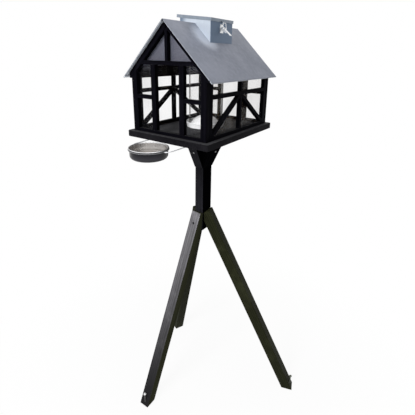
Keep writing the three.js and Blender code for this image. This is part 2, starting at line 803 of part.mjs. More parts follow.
// One wire ring under the bowl's rim, with an arm welded on each side that runs back under the board
function wireHolder() {
  const ring = new THREE.TorusGeometry(ringRadius, holder.wireRadius, 8, 56).translate(0, -bowlOut, wireMiddle);
  const end = holder.underBoard - floor.length * halfShare;
  const arms = sides.map((side) => {
    const spread = (ringRadius + holder.armOffset) * side.x;
    const start = new THREE.Vector3(ringRadius * side.x, -bowlOut, wireMiddle);
    const knee = new THREE.Vector3(spread, -bowlOut, wireMiddle);
    const shoulder = new THREE.Vector3(spread, holder.jogLength - bowlOut, wireMiddle);
    const path = new THREE.CurvePath();
    path.add(new THREE.QuadraticBezierCurve3(start, knee, shoulder));
    path.add(new THREE.LineCurve3(shoulder, new THREE.Vector3(spread, end, wireMiddle)));
    return wireAlong(path, holder.wireRadius, 32);
  });
  return piece('wire_holder', join(ring, ...arms), 'brightWire');
}

// Stand

function centreColumn() {
  const x = post.width * halfShare;
  const y = post.depth * halfShare;
  const top = boardUnderside - gap;
  return piece('post', block([-x, -y, boardUnderside - post.length], [x, y, top]), 'standTimber');
}

// The four faces of the post: where each lies, and how wide a piece fixed to it is
const faces = {
  front: { bearing: -90, out: post.depth * halfShare, width: post.width },
  right: { bearing: 0, out: post.width * halfShare, width: post.depth },
  back: { bearing: 90, out: post.depth * halfShare, width: post.width },
  left: { bearing: 180, out: post.width * halfShare, width: post.depth },
};

// The three legs: each leans on the face of the post that it is named after
const legs = [
  { name: 'leg_front', side: 'front', ...frontLeg },
  { name: 'leg_right', side: 'right', ...rightLeg },
  { name: 'leg_left', side: 'left', ...leftLeg },
];

// Slanting bracket on each face of the post, under the floor board
function corbels() {
  const top = boardUnderside - gap;
  return Object.entries(faces).map(([word, face]) => {
    const inner = face.out + gap;
    const shape = outline([
      [inner, top - corbel.height],
      [inner + corbel.toe, top - corbel.height],
      [inner + corbel.reach, top - corbel.toe],
      [inner + corbel.reach, top],
      [inner, top],
    ]);
    const half = face.width * halfShare;
    const body = alongY(shape, -half, half).rotateZ(face.bearing * radian);
    return piece(`corbel_${word}`, body, 'standTimber');
  });
}

// Axis of a leg: its foot and its top on the ground's and the post's side, and the way its section is turned
function legLine({ footReach, footBearing, side, sectionTurn }) {
  const face = faces[side];
  const foot = new THREE.Vector3(footReach, 0, 0).applyAxisAngle(new THREE.Vector3(0, 0, 1), footBearing * radian);
  const topOut = face.out + leg.topThickness - leg.width * halfShare;
  const top = new THREE.Vector3(topOut, 0, boardUnderside - leg.underBoard).applyAxisAngle(
    new THREE.Vector3(0, 0, 1),
    face.bearing * radian,
  );
  const up = top.clone().sub(foot).normalize();
  const outward = new THREE.Vector3(1, 0, 0).applyAxisAngle(
    new THREE.Vector3(0, 0, 1),
    (footBearing + sectionTurn) * radian,
  );
  const across = new THREE.Vector3().crossVectors(up, outward).normalize();
  const front = new THREE.Vector3().crossVectors(across, up).normalize();
  return { foot, top, up, across, front, face };
}

// Where a vertical peg stands so that it enters the leg's outer face at the peg's entry height
function pegPlace(line) {
  const outer = line.foot.clone().add(line.front.clone().multiplyScalar(leg.width * halfShare));
  const climb = (peg.entryHeight - outer.z) / line.up.z;
  const place = outer.add(line.up.clone().multiplyScalar(climb));
  return new THREE.Vector3(place.x, place.y, 0);
}

// Square timber, cut level at the foot and upright against the post, and drilled for its peg
function legBody(foot) {
  const line = legLine(foot);
  const length = line.top.distanceTo(line.foot);
  const half = leg.width * halfShare;
  const timber = block([-half, -half, -leg.width], [half, half, length]);
  timber.applyMatrix4(new THREE.Matrix4().makeBasis(line.front, line.across, line.up).setPosition(line.foot));
  const reach = leg.width * 3;
  const ground = block(
    [line.foot.x - reach, line.foot.y - reach, -reach],
    [line.foot.x + reach, line.foot.y + reach, 0],
  );
  const seat = block([-reach, -reach, 0], [line.face.out + gap, reach, boardUnderside]);
  seat.rotateZ(line.face.bearing * radian);
  const place = pegPlace(line);
  const hole = bar(peg.radius + peg.holeGap, -overrun, peg.entryHeight + overrun, 16).translate(place.x, place.y, 0);
  return piece(foot.name, cut(timber, ground, seat, hole), 'standTimber');
}

// Round nail with a blunt point, pushed down through the foot into the ground
function groundPeg(foot) {
  const place = pegPlace(legLine(foot));
  const top = peg.length;
  const shank = top - peg.headHeight;
  const profile = [
    [0, 0],
    [peg.radius * pegPointShare, 0],
    [peg.radius, peg.pointLength],
    [peg.radius, shank],
    [peg.headRadius, shank],
    [peg.headRadius, top],
    [0, top],
  ];
  const body = turned(profile, 16).translate(place.x, place.y, 0);
  return piece(foot.name.replace('leg', 'peg'), body, 'brightWire');
}

// Assembly

const house = new THREE.Group();
house.position.z = floor.aboveGround;
house.add(floorBoard());
house.add(...cornerPosts(), ...gablePosts(), ...gableRails(), ...gableSills());
house.add(...sideSills(), ...sideRails(), ...centrePosts(), ...braces(), ...wallPlates());
house.add(...tieBeams(), ...kingPosts(), ...rafters());
house.add(...sidePanes(), ...gablePanes());
house.add(roofSheet(), chimneyBody(), lidCap());
house.add(latchPlate(), latchLever(), latchLoop());
house.add(siloTube(), seedTray(), drinkingBowl(), wireHolder());

const stand = new THREE.Group();
stand.add(centreColumn(), ...corbels(), ...legs.map(legBody), ...legs.map(groundPeg));

// The table stands on z = 0 with its origin under the middle of its outline.
const birdTable = new THREE.Group();
birdTable.name = 'bird_table';
birdTable.add(house, stand);
birdTable.updateMatrixWorld(true);
const extent = new THREE.Box3().setFromObject(birdTable, true);
const middle = extent.getCenter(new THREE.Vector3());
birdTable.position.set(-middle.x, -middle.y, -extent.min.z);
birdTable.updateMatrixWorld(true);

export default birdTable;
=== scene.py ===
"""Bird table: a half-timbered feeding house under a folded zinc roof, on a post with three splayed legs.

Every length is in metres. The house is placed from its floor board, and its ridge runs along Y.
"""
import json
import logging
import math
from dataclasses import dataclass, field, replace
from enum import Enum

import bmesh
import bpy
import numpy as np
from mathutils import Matrix, Vector


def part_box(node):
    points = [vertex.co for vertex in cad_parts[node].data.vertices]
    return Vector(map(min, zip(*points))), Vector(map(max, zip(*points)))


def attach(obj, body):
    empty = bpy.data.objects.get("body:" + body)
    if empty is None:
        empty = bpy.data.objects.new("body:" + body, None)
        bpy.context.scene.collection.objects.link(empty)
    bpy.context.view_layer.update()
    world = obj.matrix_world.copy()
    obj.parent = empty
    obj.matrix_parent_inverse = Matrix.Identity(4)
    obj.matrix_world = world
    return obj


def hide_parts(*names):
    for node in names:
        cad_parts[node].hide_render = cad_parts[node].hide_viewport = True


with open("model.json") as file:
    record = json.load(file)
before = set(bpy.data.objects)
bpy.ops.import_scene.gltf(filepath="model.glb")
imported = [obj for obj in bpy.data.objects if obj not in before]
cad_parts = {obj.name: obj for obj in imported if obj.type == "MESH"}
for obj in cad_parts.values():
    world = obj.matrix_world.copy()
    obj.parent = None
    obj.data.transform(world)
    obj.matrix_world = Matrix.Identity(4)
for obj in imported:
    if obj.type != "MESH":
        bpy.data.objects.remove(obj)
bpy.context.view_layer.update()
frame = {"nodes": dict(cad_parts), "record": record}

log = logging.getLogger("bird_table")

Array = np.ndarray
Surface = tuple[Array, Array]
Pair = tuple[float, float]
Rgb = tuple[float, float, float]
Point = tuple[float, float, float]
Piece = bpy.types.Object
Material = bpy.types.Material
Socket = bpy.types.NodeSocket

MM = 0.001


# Surfaces


def circle(count: int) -> Array:
    """Gives angles spaced evenly round a circle."""
    return np.linspace(0, 2 * np.pi, count, endpoint=False)


def joined(*coordinates: Array | float) -> Array:
    """Puts coordinates together into points, and repeats those that are single numbers."""
    return np.stack(np.broadcast_arrays(*coordinates), axis=-1)


def grid_faces(rows: int, columns: int, wrap_rows: bool = True, wrap_columns: bool = True) -> Array:
    """Joins a grid of points, counted row by row, into quads.

    Args:
        rows: Number of rows of points.
        columns: Number of points in a row.
        wrap_rows: Whether the last row joins the first.
        wrap_columns: Whether the last column joins the first.

    Returns:
        One line of four point numbers for each quad.
    """
    down = np.arange(rows if wrap_rows else rows - 1)
    over = np.arange(columns if wrap_columns else columns - 1)
    i, j = (part.ravel() for part in np.meshgrid(down, over, indexing="ij"))
    below, beside = (i + 1) % rows, (j + 1) % columns
    return joined(i * columns + j, below * columns + j, below * columns + beside, i * columns + beside)


def turned(profile: Array, count: int, centre: Array | float = 0.0) -> Surface:
    """Turns a closed profile round an upright axis.

    Args:
        profile: Radius and height of each profile point.
        count: Number of places round the circle.
        centre: Point that the axis goes through.

    Returns:
        Points and quads. A point is (radius cos turn, radius sin turn, height) plus the centre.
    """
    turn, radius = np.meshgrid(circle(count), profile[:, 0], indexing="ij")
    points = joined(radius * np.cos(turn), radius * np.sin(turn), profile[:, 1]) + centre
    return points.reshape(-1, 3), grid_faces(count, len(profile))


def swept(path: Array, across: Array, upright: Array, section: Array, closed: bool) -> Surface:
    """Carries a closed section along a path.

    Args:
        path: Points of the path.
        across: First direction of the section, one for all or one for each path point.
        upright: Second direction of the section, likewise.
        section: For each path point, the section's points as shares of the two directions.
        closed: Whether the path's end joins its start.

    Returns:
        Points and quads. A point is the path's point plus a times across plus b times upright.
    """
    across, upright = (np.broadcast_to(way, path.shape)[:, None] for way in (across, upright))
    points = path[:, None] + section[..., 0:1] * across + section[..., 1:2] * upright
    return points.reshape(-1, 3), grid_faces(len(path), section.shape[1], closed)


def round_wire(path: Array, radius: float, plane: Point, sides: int, closed: bool = False) -> Surface:
    """Makes a round wire along a path that stays in one plane, with rounded ends.

    Args:
        path: Points of the path.
        radius: Radius of the wire.
        plane: Unit normal of the plane that holds the path.
        sides: Points round the wire.
        closed: Whether the wire is a ring.

    Returns:
        Points and quads. Ring points are the path's point plus radius times
        (cos a times the sideways normal + sin a times the plane's normal). On an open wire the radius falls to
        zero over the last points as the root of one minus the square of the distance past the end.
    """
    path = np.asarray(path, float)
    radii = np.full(len(path), radius)
    if not closed:
        cap = np.linspace(0, 1, 5)[1:]
        first = (path[0] - path[1]) / np.linalg.norm(path[0] - path[1])
        last = (path[-1] - path[-2]) / np.linalg.norm(path[-1] - path[-2])
        start = path[0] + first * (cap[::-1, None] * radius * 0.7)
        end = path[-1] + last * (cap[:, None] * radius * 0.7)
        shrink = radius * np.sqrt(1 - cap ** 2)
        path = np.concatenate([start, path, end])
        radii = np.concatenate([shrink[::-1], radii, shrink])
    tangent = np.roll(path, -1, 0) - np.roll(path, 1, 0) if closed else np.gradient(path, axis=0)
    across = np.cross(tangent, plane)
    across /= np.linalg.norm(across, axis=1, keepdims=True)
    ring = joined(np.cos(circle(sides)), np.sin(circle(sides)))
    return swept(path, across, np.array(plane, float), radii[:, None, None] * ring, closed)


def domed(radius: float, height: float) -> Surface:
    """Makes a low dome with a short shank below it.

    Args:
        radius: Radius of the dome's foot.
        height: Height of the dome.

    Returns:
        Points and quads. Over the foot the height is that of an ellipse: height times the root of
        one minus the square of radius over the foot's radius.
    """
    rise = np.linspace(0, np.pi / 2, 7)
    shank = [(0, -height), (radius * 0.6, -height), (radius * 0.6, 0)]
    return turned(np.concatenate([shank, joined(radius * np.cos(rise), height * np.sin(rise))]), 20)


def screw_head(radius: float) -> Surface:
    """Makes a countersunk screw head with a cross-shaped recess.

    Args:
        radius: Radius of the head.

    Returns:
        Points and quads on a grid of radius and angle. The top dips by a share of the radius where the point
        lies within a narrow band along either cross arm, and the head narrows to a cone below.
    """
    shares = np.array([0.0, 0.12, 0.24, 0.36, 0.48, 0.6, 0.8, 0.96, 1.0])
    turns, depth, arm_width, arm_end = circle(32), 0.42, 0.13, 0.58
    turn, share = np.meshgrid(turns, shares, indexing="ij")
    x, y = share * np.cos(turn), share * np.sin(turn)
    arm = np.minimum(np.abs(x), np.abs(y))
    dip = depth * np.exp(-(arm / arm_width) ** 4) * (share < arm_end)
    top = joined(x, y, 0.05 * (1 - share ** 2) - dip)
    cone = np.array([0.98, 0.45, 0.0])
    below = joined(np.outer(np.cos(turns), cone), np.outer(np.sin(turns), cone), [-0.12, -0.6, -0.6])
    points = radius * np.concatenate([top, below], axis=1)
    return points.reshape(-1, 3), grid_faces(len(turns), points.shape[1], True, False)


def aimed(surface: Surface, place: Point | Vector, axis: Point | Vector) -> Surface:
    """Moves a surface so that its own Z axis stands along a direction.

    Args:
        surface: Points round the origin, and quads.
        place: Where the origin goes.
        axis: Direction that the Z axis takes.

    Returns:
        The moved surface, x times one square direction plus y times the other plus z times the axis.
    """
    up = np.array(axis, float) / np.linalg.norm(axis)
    aside = np.cross(up, (0, 0, 1) if abs(up[2]) < 0.9 else (1, 0, 0))
    aside /= np.linalg.norm(aside)
    return surface[0] @ np.stack([aside, np.cross(up, aside), up]) + np.array(place, float), surface[1]


def several(parts: list[Surface]) -> Surface:
    """Puts separate closed surfaces into one mesh.

    Args:
        parts: Points and quads of each surface.

    Returns:
        All points, and all quads with their point numbers moved on.
    """
    starts = np.cumsum([0] + [len(points) for points, _ in parts[:-1]])
    points = np.concatenate([points for points, _ in parts])
    return points, np.concatenate([faces + start for (_, faces), start in zip(parts, starts)])


def new_piece(name: str, surface: Surface, crease: float = 35.0, marks: Array | None = None) -> Piece:
    """Makes an object from a surface, closes its poles and turns its faces outwards.

    Args:
        name: Name of the object.
        surface: The mesh's points and faces.
        crease: Angle in degrees above which an edge stays sharp.
        marks: One number for each point, kept as the attribute "side" for the finish to read.

    Returns:
        The new object, at the origin.
    """
    mesh = bpy.data.meshes.new(name)
    mesh.from_pydata(surface[0].tolist(), [], surface[1].tolist())
    if marks is not None:
        mesh.attributes.new("side", "FLOAT", "POINT").data.foreach_set("value", marks.astype(np.float32))
    shell = bmesh.new()
    shell.from_mesh(mesh)
    bmesh.ops.remove_doubles(shell, verts=shell.verts, dist=1e-6)
    bmesh.ops.dissolve_degenerate(shell, edges=shell.edges, dist=1e-7)
    bmesh.ops.recalc_face_normals(shell, faces=shell.faces)
    shell.to_mesh(mesh)
    shell.free()
    return finished_object(name, mesh, crease)


def finished_object(name: str, mesh: bpy.types.Mesh, crease: float) -> Piece:
    """Smooths a mesh up to its sharp edges and puts it in the scene.

    Args:
        name: Name of the object.
        mesh: The mesh.
        crease: Angle in degrees above which an edge stays sharp.

    Returns:
        The new object.
    """
    mesh.shade_smooth()
    mesh.set_sharp_from_angle(angle=math.radians(crease))
    piece = bpy.data.objects.new(name, mesh)
    bpy.context.scene.collection.objects.link(piece)
    return piece


def eased_copy(node: str, edge: float, crease: float) -> Piece:
    """Copies a CAD node with its flat faces whole again and its edges eased by a small bevel.

    Args:
        node: Name of the CAD node.
        edge: Width of the bevel.
        crease: Angle in degrees above which an edge is bevelled.

    Returns:
        The new object, in the node's place.
    """
    shell = bmesh.new()
    shell.from_mesh(frame["nodes"][node].data)
    bmesh.ops.remove_doubles(shell, verts=shell.verts, dist=2e-6)
    bmesh.ops.dissolve_limit(shell, angle_limit=math.radians(0.4), verts=shell.verts, edges=shell.edges)
    mesh = bpy.data.meshes.new(f"{node}_eased")
    shell.to_mesh(mesh)
    shell.free()
    piece = finished_object(f"{node}_eased", mesh, crease)
    bevel = piece.modifiers.new("eased_edges", "BEVEL")
    bevel.width = edge
    bevel.segments = 2
    bevel.limit_method = "ANGLE"
    bevel.angle_limit = math.radians(crease)
    bevel.harden_normals = True
    return piece


# Finishes


def scaled(colour: Rgb, share: float) -> Rgb:
    """Makes a colour darker or lighter."""
    return tuple(min(1.0, share * channel) for channel in colour)


class Nodes:
    """Adds nodes to a tree."""

    def __init__(self, tree: bpy.types.NodeTree) -> None:
        """Keeps the tree that the nodes go into."""
        self.tree = tree

    def feed(self, socket: Socket, value: object) -> None:
        """Links a socket to an output, or writes a plain value into it.

        Args:
            socket: The input.
            value: An output, a number, a vector or a colour.
        """
        if isinstance(value, Socket):
            self.tree.links.new(value, socket)
        elif isinstance(value, tuple) and len(value) == 3 and len(socket.default_value) == 4:
            socket.default_value = (*value, 1.0)
        else:
            socket.default_value = value

    def node(self, kind: str, feeds: dict[int | str, object] | None = None, **settings: object) -> bpy.types.Node:
        """Adds a node.

        Args:
            kind: Blender's name of the node type, without ShaderNode before it.
            feeds: What goes into each input.
            **settings: Properties of the node.

        Returns:
            The node.
        """
        made = self.tree.nodes.new(f"ShaderNode{kind}")
        for key, value in settings.items():
            setattr(made, key, value)
        for key, value in (feeds or {}).items():
            self.feed(made.inputs[key], value)
        return made

    def combined(self, operation: str, first: object, second: object) -> Socket:
        """Joins two numbers by an operation such as MAXIMUM or MULTIPLY."""
        return self.node("Math", {0: first, 1: second}, operation=operation).outputs[0]


class Recipe(Nodes):
    """Builds the nodes of one material round its Principled shader."""

    def __init__(self, name: str) -> None:
        """Starts a material with a shader and the object's own coordinates.

        Args:
            name: Name of the material.
        """
        self.material = bpy.data.materials.new(name)
        self.material.use_nodes = True
        super().__init__(self.material.node_tree)
        self.shader = self.tree.nodes["Principled BSDF"]
        self.place = self.node("TexCoord").outputs["Object"]

    def shade(self, **values: object) -> None:
        """Sets sockets of the shader.

        Args:
            **values: A value for each socket's name, in lower case with underscores.
        """
        for key, value in values.items():
            name = next(s.name for s in self.shader.inputs if s.name.lower().replace(" ", "_") == key)
            self.feed(self.shader.inputs[name], value)

    def turned_to(self, centre: Point, turn: Matrix, stretch: float = 1.0) -> Socket:
        """Gives coordinates round a centre, turned so that Z is the turn's third column, and stretched along Z."""
        feeds = {"Vector": self.place, "Location": centre, "Rotation": turn.to_euler(), "Scale": (1.0, 1.0, stretch)}
        return self.node("Mapping", feeds, vector_type="TEXTURE").outputs["Vector"]

    def noise(self, scale: float, detail: float, rough: float, bend: float = 0.0, at: Socket | None = None) -> Socket:
        """Adds a noise from 0 to 1: waves in a metre, finer layers, their strength, distortion and coordinates."""
        feeds = {"Vector": at or self.place, "Scale": scale, "Detail": detail, "Roughness": rough, "Distortion": bend}
        return self.node("TexNoise", feeds).outputs[0]

    def rings(self, at: Socket, scale: float, bend: float, detail: float) -> Socket:
        """Adds rings round the Z axis of the coordinates, bent by a noise."""
        feeds = {"Vector": at, "Scale": scale, "Distortion": bend, "Detail": detail, "Detail Scale": 1.2}
        return self.node("TexWave", feeds, wave_type="RINGS", rings_direction="Z").outputs["Fac"]

    def span(self, value: Socket, source: Pair, target: Pair = (0.0, 1.0)) -> Socket:
        """Carries a value smoothly from one range, cut off at both ends, to another."""
        feeds = dict(enumerate((value, *source, *target)))
        return self.node("MapRange", feeds, interpolation_type="SMOOTHSTEP").outputs["Result"]

    def sum(self, first: Socket, second: Socket, share: float) -> Socket:
        """Gives first plus share times second."""
        return self.node("Math", {0: second, 1: share, 2: first}, operation="MULTIPLY_ADD").outputs[0]

    def mix(self, share: object, first: object, second: object) -> Socket:
        """Mixes two colours, by how much of the second one shows."""
        return self.node("Mix", {0: share, 6: first, 7: second}, data_type="RGBA").outputs[2]

    def over(self, colour: object, upper: object, value: Socket, source: Pair, cover: Pair = (0.0, 1.0)) -> Socket:
        """Lays a colour over another, with one cover at the start of a value's range and one at its end."""
        return self.mix(self.span(value, source, cover), colour, upper)

    def ramp(self, value: Socket, stops: tuple[tuple[float, Rgb], ...]) -> Socket:
        """Turns a value into a colour that runs through given stops.

        Args:
            value: The value.
            stops: Position and colour of each stop, in rising order.

        Returns:
            The output with the colour.
        """
        made = self.node("ValToRGB", {0: value})
        elements = made.color_ramp.elements
        while len(elements) < len(stops):
            elements.new(1.0)
        for element, (position, colour) in zip(elements, stops):
            element.position = position
            element.color = (*colour, 1.0)
        return made.outputs[0]

    def along(self, vector: Socket, axis: int) -> Socket:
        """Gives one coordinate of a vector."""
        return self.node("SeparateXYZ", {0: vector}).outputs[axis]

    def away(self, point: Point) -> Socket:
        """Gives the distance from a point."""
        return self.node("VectorMath", {0: self.place, 1: point}, operation="DISTANCE").outputs["Value"]

    def relief(self, height: Socket, depth: float) -> None:
        """Raises the surface by a height field of a given depth."""
        bump = self.node("Bump", {"Height": height, "Distance": depth, "Strength": 1.0})
        self.feed(self.shader.inputs["Normal"], bump.outputs["Normal"])


@dataclass(frozen=True)
class TimberStain:
    """Dark stain on planed softwood, with the grain showing through it along the piece."""

    name: str
    deep: Rgb
    worn: Rgb
    gloss: float
    roughness: Pair
    grain_depth: float = 0.16 * MM
    stretch: float = 26.0
    grain_contrast: Pair = (0.55, 1.35)
    low_share: float = 1.0
    full_height: float = 1.1
    dust: float = 0.0
    painted_shade_colour: Rgb | None = None
    painted_shade_axis: int = 1
    painted_shade_span: Pair = (-0.75, -0.45)

    def material(self, grain_way: Vector, centre: Point) -> Material:
        """Makes the stain with its grain along a direction.

        Args:
            grain_way: Direction of the grain.
            centre: Point that the growth rings lie round.

        Returns:
            The material. Its colour is darker towards the ground by low_share, a painted falloff of light, takes
            painted_shade_colour as painted shade on faces turned from the light, and is dusty where it faces up.
        """
        recipe = Recipe(self.name)
        grain = recipe.turned_to(centre, grain_way.to_track_quat("Z", "Y").to_matrix(), self.stretch)
        fine = recipe.noise(330.0, 6.0, 0.62, 0.35, grain)
        broad = recipe.noise(46.0, 3.0, 0.5, 0.6, grain)
        streaks = recipe.sum(recipe.sum(fine, broad, 0.7), recipe.rings(grain, 42.0, 3.2, 3.0), 0.25)
        colour = recipe.over(self.deep, self.worn, streaks, self.grain_contrast)
        blotches = recipe.noise(11.0, 3.0, 0.6)
        colour = recipe.over(colour, scaled(self.worn, 1.7), blotches, (0.5, 0.78), (0.0, 0.55))
        # Painted falloff of light: darker towards the ground.
        if self.low_share < 1:
            low = scaled(self.worn, self.low_share)
            colour = recipe.over(colour, low, recipe.along(recipe.place, 2), (0.0, self.full_height), (1.0, 0.0))
        facing = recipe.node("NewGeometry").outputs["Normal"]
        gloss = self.gloss
        # Painted shade: faces turned from the light take a plain darker colour and lose their gloss.
        if self.painted_shade_colour is not None:
            painted_shade_share = recipe.span(recipe.along(facing, self.painted_shade_axis), self.painted_shade_span)
            plain = recipe.over(scaled(self.painted_shade_colour, 0.45), self.painted_shade_colour, streaks, self.grain_contrast)
            colour = recipe.mix(painted_shade_share, colour, plain)
            gloss = recipe.span(painted_shade_share, (0.0, 1.0), (self.gloss, 0.0))
        if self.dust:
            settled = recipe.sum(recipe.along(facing, 2), streaks, 0.35)
            colour = recipe.over(colour, (self.dust, self.dust, self.dust * 1.07), settled, (0.9, 1.5), (0.0, 0.9))
        recipe.shade(base_color=colour, specular_ior_level=gloss)
        recipe.shade(roughness=recipe.span(streaks, (0.5, 1.4), self.roughness))
        recipe.relief(streaks, self.grain_depth)
        return recipe.material


@dataclass(frozen=True)
class ZincFinish:
    """Dull zinc sheet with faint crystals, soft clouds of patina and slight waves in the sheet."""

    name: str
    bright: Rgb
    dull: Rgb
    metallic: float
    roughness: Pair
    waves: float = 0.5 * MM
    shaded_side_colour: Rgb | None = None
    shaded_side_from: float = 0.0
    width: float = 1.0
    shine: Point | None = None
    shine_colour: Rgb = (0.56, 0.60, 0.68)
    shine_reach: Pair = (0.045, 0.1)

    def material(self) -> Material:
        """Makes the sheet's material.

        Returns:
            The material. Beyond shaded_side_from it takes shaded_side_colour as painted shade, with a darker band of
            that colour near the other end of the width, and a shine is a painted reflection: a lighter patch round a
            point.
        """
        recipe = Recipe(self.name)
        clouds = recipe.noise(5.5, 4.0, 0.55, 0.4)
        runs = recipe.noise(60.0, 3.0, 0.6, at=recipe.turned_to((0, 0, 0), Matrix.Identity(3), 5.0))
        cells = recipe.node("TexVoronoi", {"Vector": recipe.place, "Scale": 85.0}, feature="F1", distance="MANHATTAN")
        crystal = recipe.node("SeparateColor", {0: cells.outputs["Color"]}).outputs[0]
        mottle = recipe.sum(recipe.sum(clouds, runs, 0.35), crystal, 0.14)
        colour = recipe.over(self.bright, self.dull, mottle, (0.45, 1.05))
        # Painted shade on the side beyond shaded_side_from, and a darker band of its colour near the other end.
        if self.shaded_side_colour is not None:
            x = recipe.along(recipe.place, 0)
            streak = tuple(self.shaded_side_from - self.width * share for share in (0.8, 0.58))
            edge = (self.shaded_side_from, self.shaded_side_from + 1.2 * MM)
            colour = recipe.over(colour, self.shaded_side_colour, recipe.sum(x, mottle, 0.02), streak, (0.85, 0.0))
            colour = recipe.over(colour, self.shaded_side_colour, x, edge, (0.0, 0.95))
        # Painted reflection: a lighter patch round a point.
        if self.shine is not None:
            near = recipe.sum(recipe.away(self.shine), mottle, 0.02)
            colour = recipe.over(colour, self.shine_colour, near, self.shine_reach, (0.7, 0.0))
        recipe.shade(base_color=colour, metallic=self.metallic)
        recipe.shade(roughness=recipe.span(mottle, (0.45, 1.05), self.roughness))
        recipe.relief(recipe.sum(recipe.noise(4.0, 1.0, 0.3), runs, 0.02), self.waves)
        return recipe.material


@dataclass(frozen=True)
class ClearSheet:
    """Clear acrylic: seen through from in front, and shining like a mirror where it is seen at a slant."""

    name: str
    tint: Rgb
    rim_tint: Rgb
    veil: float
    rim_veil: float
    haze: float
    slant: float = 0.5
    roughness: float = 0.04
    upper_tint: Rgb | None = None
    upper_from: float = 1.735
    upper_veil: float = 0.155

    def material(self) -> Material:
        """Makes the clear material, a little hazy where it has been wiped, and lighter and less clear above a height.

        Returns:
            The material. Its alpha is the veil plus haze and the upper veil, and it grows where the sheet is seen at
            a slant.
        """
        recipe = Recipe(self.name)
        slant = recipe.node("LayerWeight", {"Blend": 0.5}).outputs["Facing"]
        haze = recipe.noise(7.0, 2.0, 0.5, 0.5)
        ends = (self.slant, 0.98)
        veil = recipe.span(slant, ends, (self.veil, self.rim_veil))
        colour = recipe.over(self.tint, self.rim_tint, slant, ends)
        if self.upper_tint is not None:
            rise = recipe.span(recipe.along(recipe.place, 2), (self.upper_from, self.upper_from + 0.05))
            colour = recipe.mix(rise, colour, self.upper_tint)
            veil = recipe.sum(veil, rise, self.upper_veil)
        recipe.shade(base_color=colour, ior=1.49, specular_ior_level=0.8)
        recipe.shade(roughness=recipe.span(haze, (0.4, 0.75), (self.roughness, self.roughness + 0.07)))
        recipe.shade(alpha=recipe.sum(veil, recipe.span(haze, (0.45, 0.8)), self.haze))
        return recipe.material


@dataclass(frozen=True)
class SpunSteel:
    """Stainless steel with fine rings from spinning, with painted shade outside and in the bend and painted
    highlights inside and on the rim.
    """

    name: str
    zones: tuple[tuple[float, Rgb], ...]
    centre: Point = (0.0, 0.0, 0.0)
    glint: Point = (-0.56, 0.83, 0.0)
    shade: Rgb = (0.03, 0.029, 0.028)
    roughness: Pair = (0.16, 0.3)

    def material(self) -> Material:
        """Makes the spun material.

        Returns:
            The material. Its colour runs through the zones by the attribute "side", which paint light and shade, and
            painted highlight wedges leave it darker where the square of the cosine between the outward direction and
            the glint is small.
        """
        recipe = Recipe(self.name)
        round_axis = recipe.turned_to(self.centre, Matrix.Identity(3))
        rings = recipe.rings(round_axis, 190.0, 0.6, 2.0)
        smears = recipe.noise(11.0, 2.0, 0.5, 0.5)
        side = recipe.node("Attribute", attribute_name="side").outputs["Fac"]
        colour = recipe.ramp(side, self.zones)
        darker = recipe.mix(0.55, colour, self.shade)
        # Painted highlight wedges along the glint direction.
        flat = recipe.node("VectorMath", {0: round_axis, 1: (1, 1, 0)}, operation="MULTIPLY").outputs[0]
        outward = recipe.node("VectorMath", {0: flat}, operation="NORMALIZE").outputs[0]
        turn = recipe.node("VectorMath", {0: outward, 1: self.glint}, operation="DOT_PRODUCT").outputs["Value"]
        wedge = recipe.sum(recipe.combined("MULTIPLY", turn, turn), smears, 0.35)
        colour = recipe.over(colour, darker, wedge, (0.3, 0.95), (1.0, 0.0))
        recipe.shade(base_color=colour, metallic=0.8, specular_ior_level=0.15)
        recipe.shade(roughness=recipe.span(recipe.sum(smears, rings, 0.15), (0.35, 0.8), self.roughness))
        recipe.relief(rings, 0.015 * MM)
        return recipe.material


@dataclass(frozen=True)
class PlatedSteel:
    """Bright plated steel wire and small pressings, with a few duller spots."""

    name: str
    colour: Rgb
    roughness: Pair
    metallic: float = 1.0
    shaded_below: float = 0.0
    shank_shade_colour: Rgb = (0.012, 0.012, 0.01)
    ring_centre: Point = (0.0, 0.0, 0.0)
    ring_reach: float = 0.0
    ring_shade: Rgb = (0.05, 0.05, 0.055)
    edge: float = 4 * MM

    def material(self) -> Material:
        """Makes the plated material.

        Returns:
            The material, with painted shade from the ground up to shaded_below and dark within ring_reach of a
            centre.
        """
        recipe = Recipe(self.name)
        spots = recipe.noise(170.0, 4.0, 0.65)
        drawn = recipe.noise(900.0, 2.0, 0.5)
        colour = recipe.over(self.colour, scaled(self.colour, 0.6), spots, (0.5, 0.72))
        # Painted shade on the shank below shaded_below, where it sits in the leg's slot.
        if self.shaded_below:
            ends = (self.shaded_below - self.edge, self.shaded_below)
            colour = recipe.over(colour, self.shank_shade_colour, recipe.along(recipe.place, 2), ends, (0.92, 0.0))
        if self.ring_reach:
            ends = (self.ring_reach, self.ring_reach + self.edge)
            colour = recipe.over(colour, self.ring_shade, recipe.away(self.ring_centre), ends, (0.88, 0.0))
        recipe.shade(base_color=colour, metallic=self.metallic)
        recipe.shade(roughness=recipe.span(recipe.sum(spots, drawn, 0.3), (0.4, 1.0), self.roughness))
        recipe.relief(drawn, 0.02 * MM)
        return recipe.material


@dataclass(frozen=True)
class MouldedPlastic:
    """White moulded plastic with a fine satin texture and a little dust."""

    name: str
    colour: Rgb
    dusty: Rgb
    roughness: Pair = (0.3, 0.44)

    def material(self) -> Material:
        """Makes the plastic material.

        Returns:
            The material.
        """
        recipe = Recipe(self.name)
        dust = recipe.noise(22.0, 5.0, 0.62)
        recipe.shade(base_color=recipe.over(self.colour, self.dusty, dust, (0.5, 0.8), (0.0, 0.7)))
        recipe.shade(roughness=recipe.span(dust, (0.3, 0.7), self.roughness), coat_weight=0.15, coat_roughness=0.2)
        recipe.relief(recipe.noise(1500.0, 2.0, 0.5), 0.02 * MM)
        return recipe.material


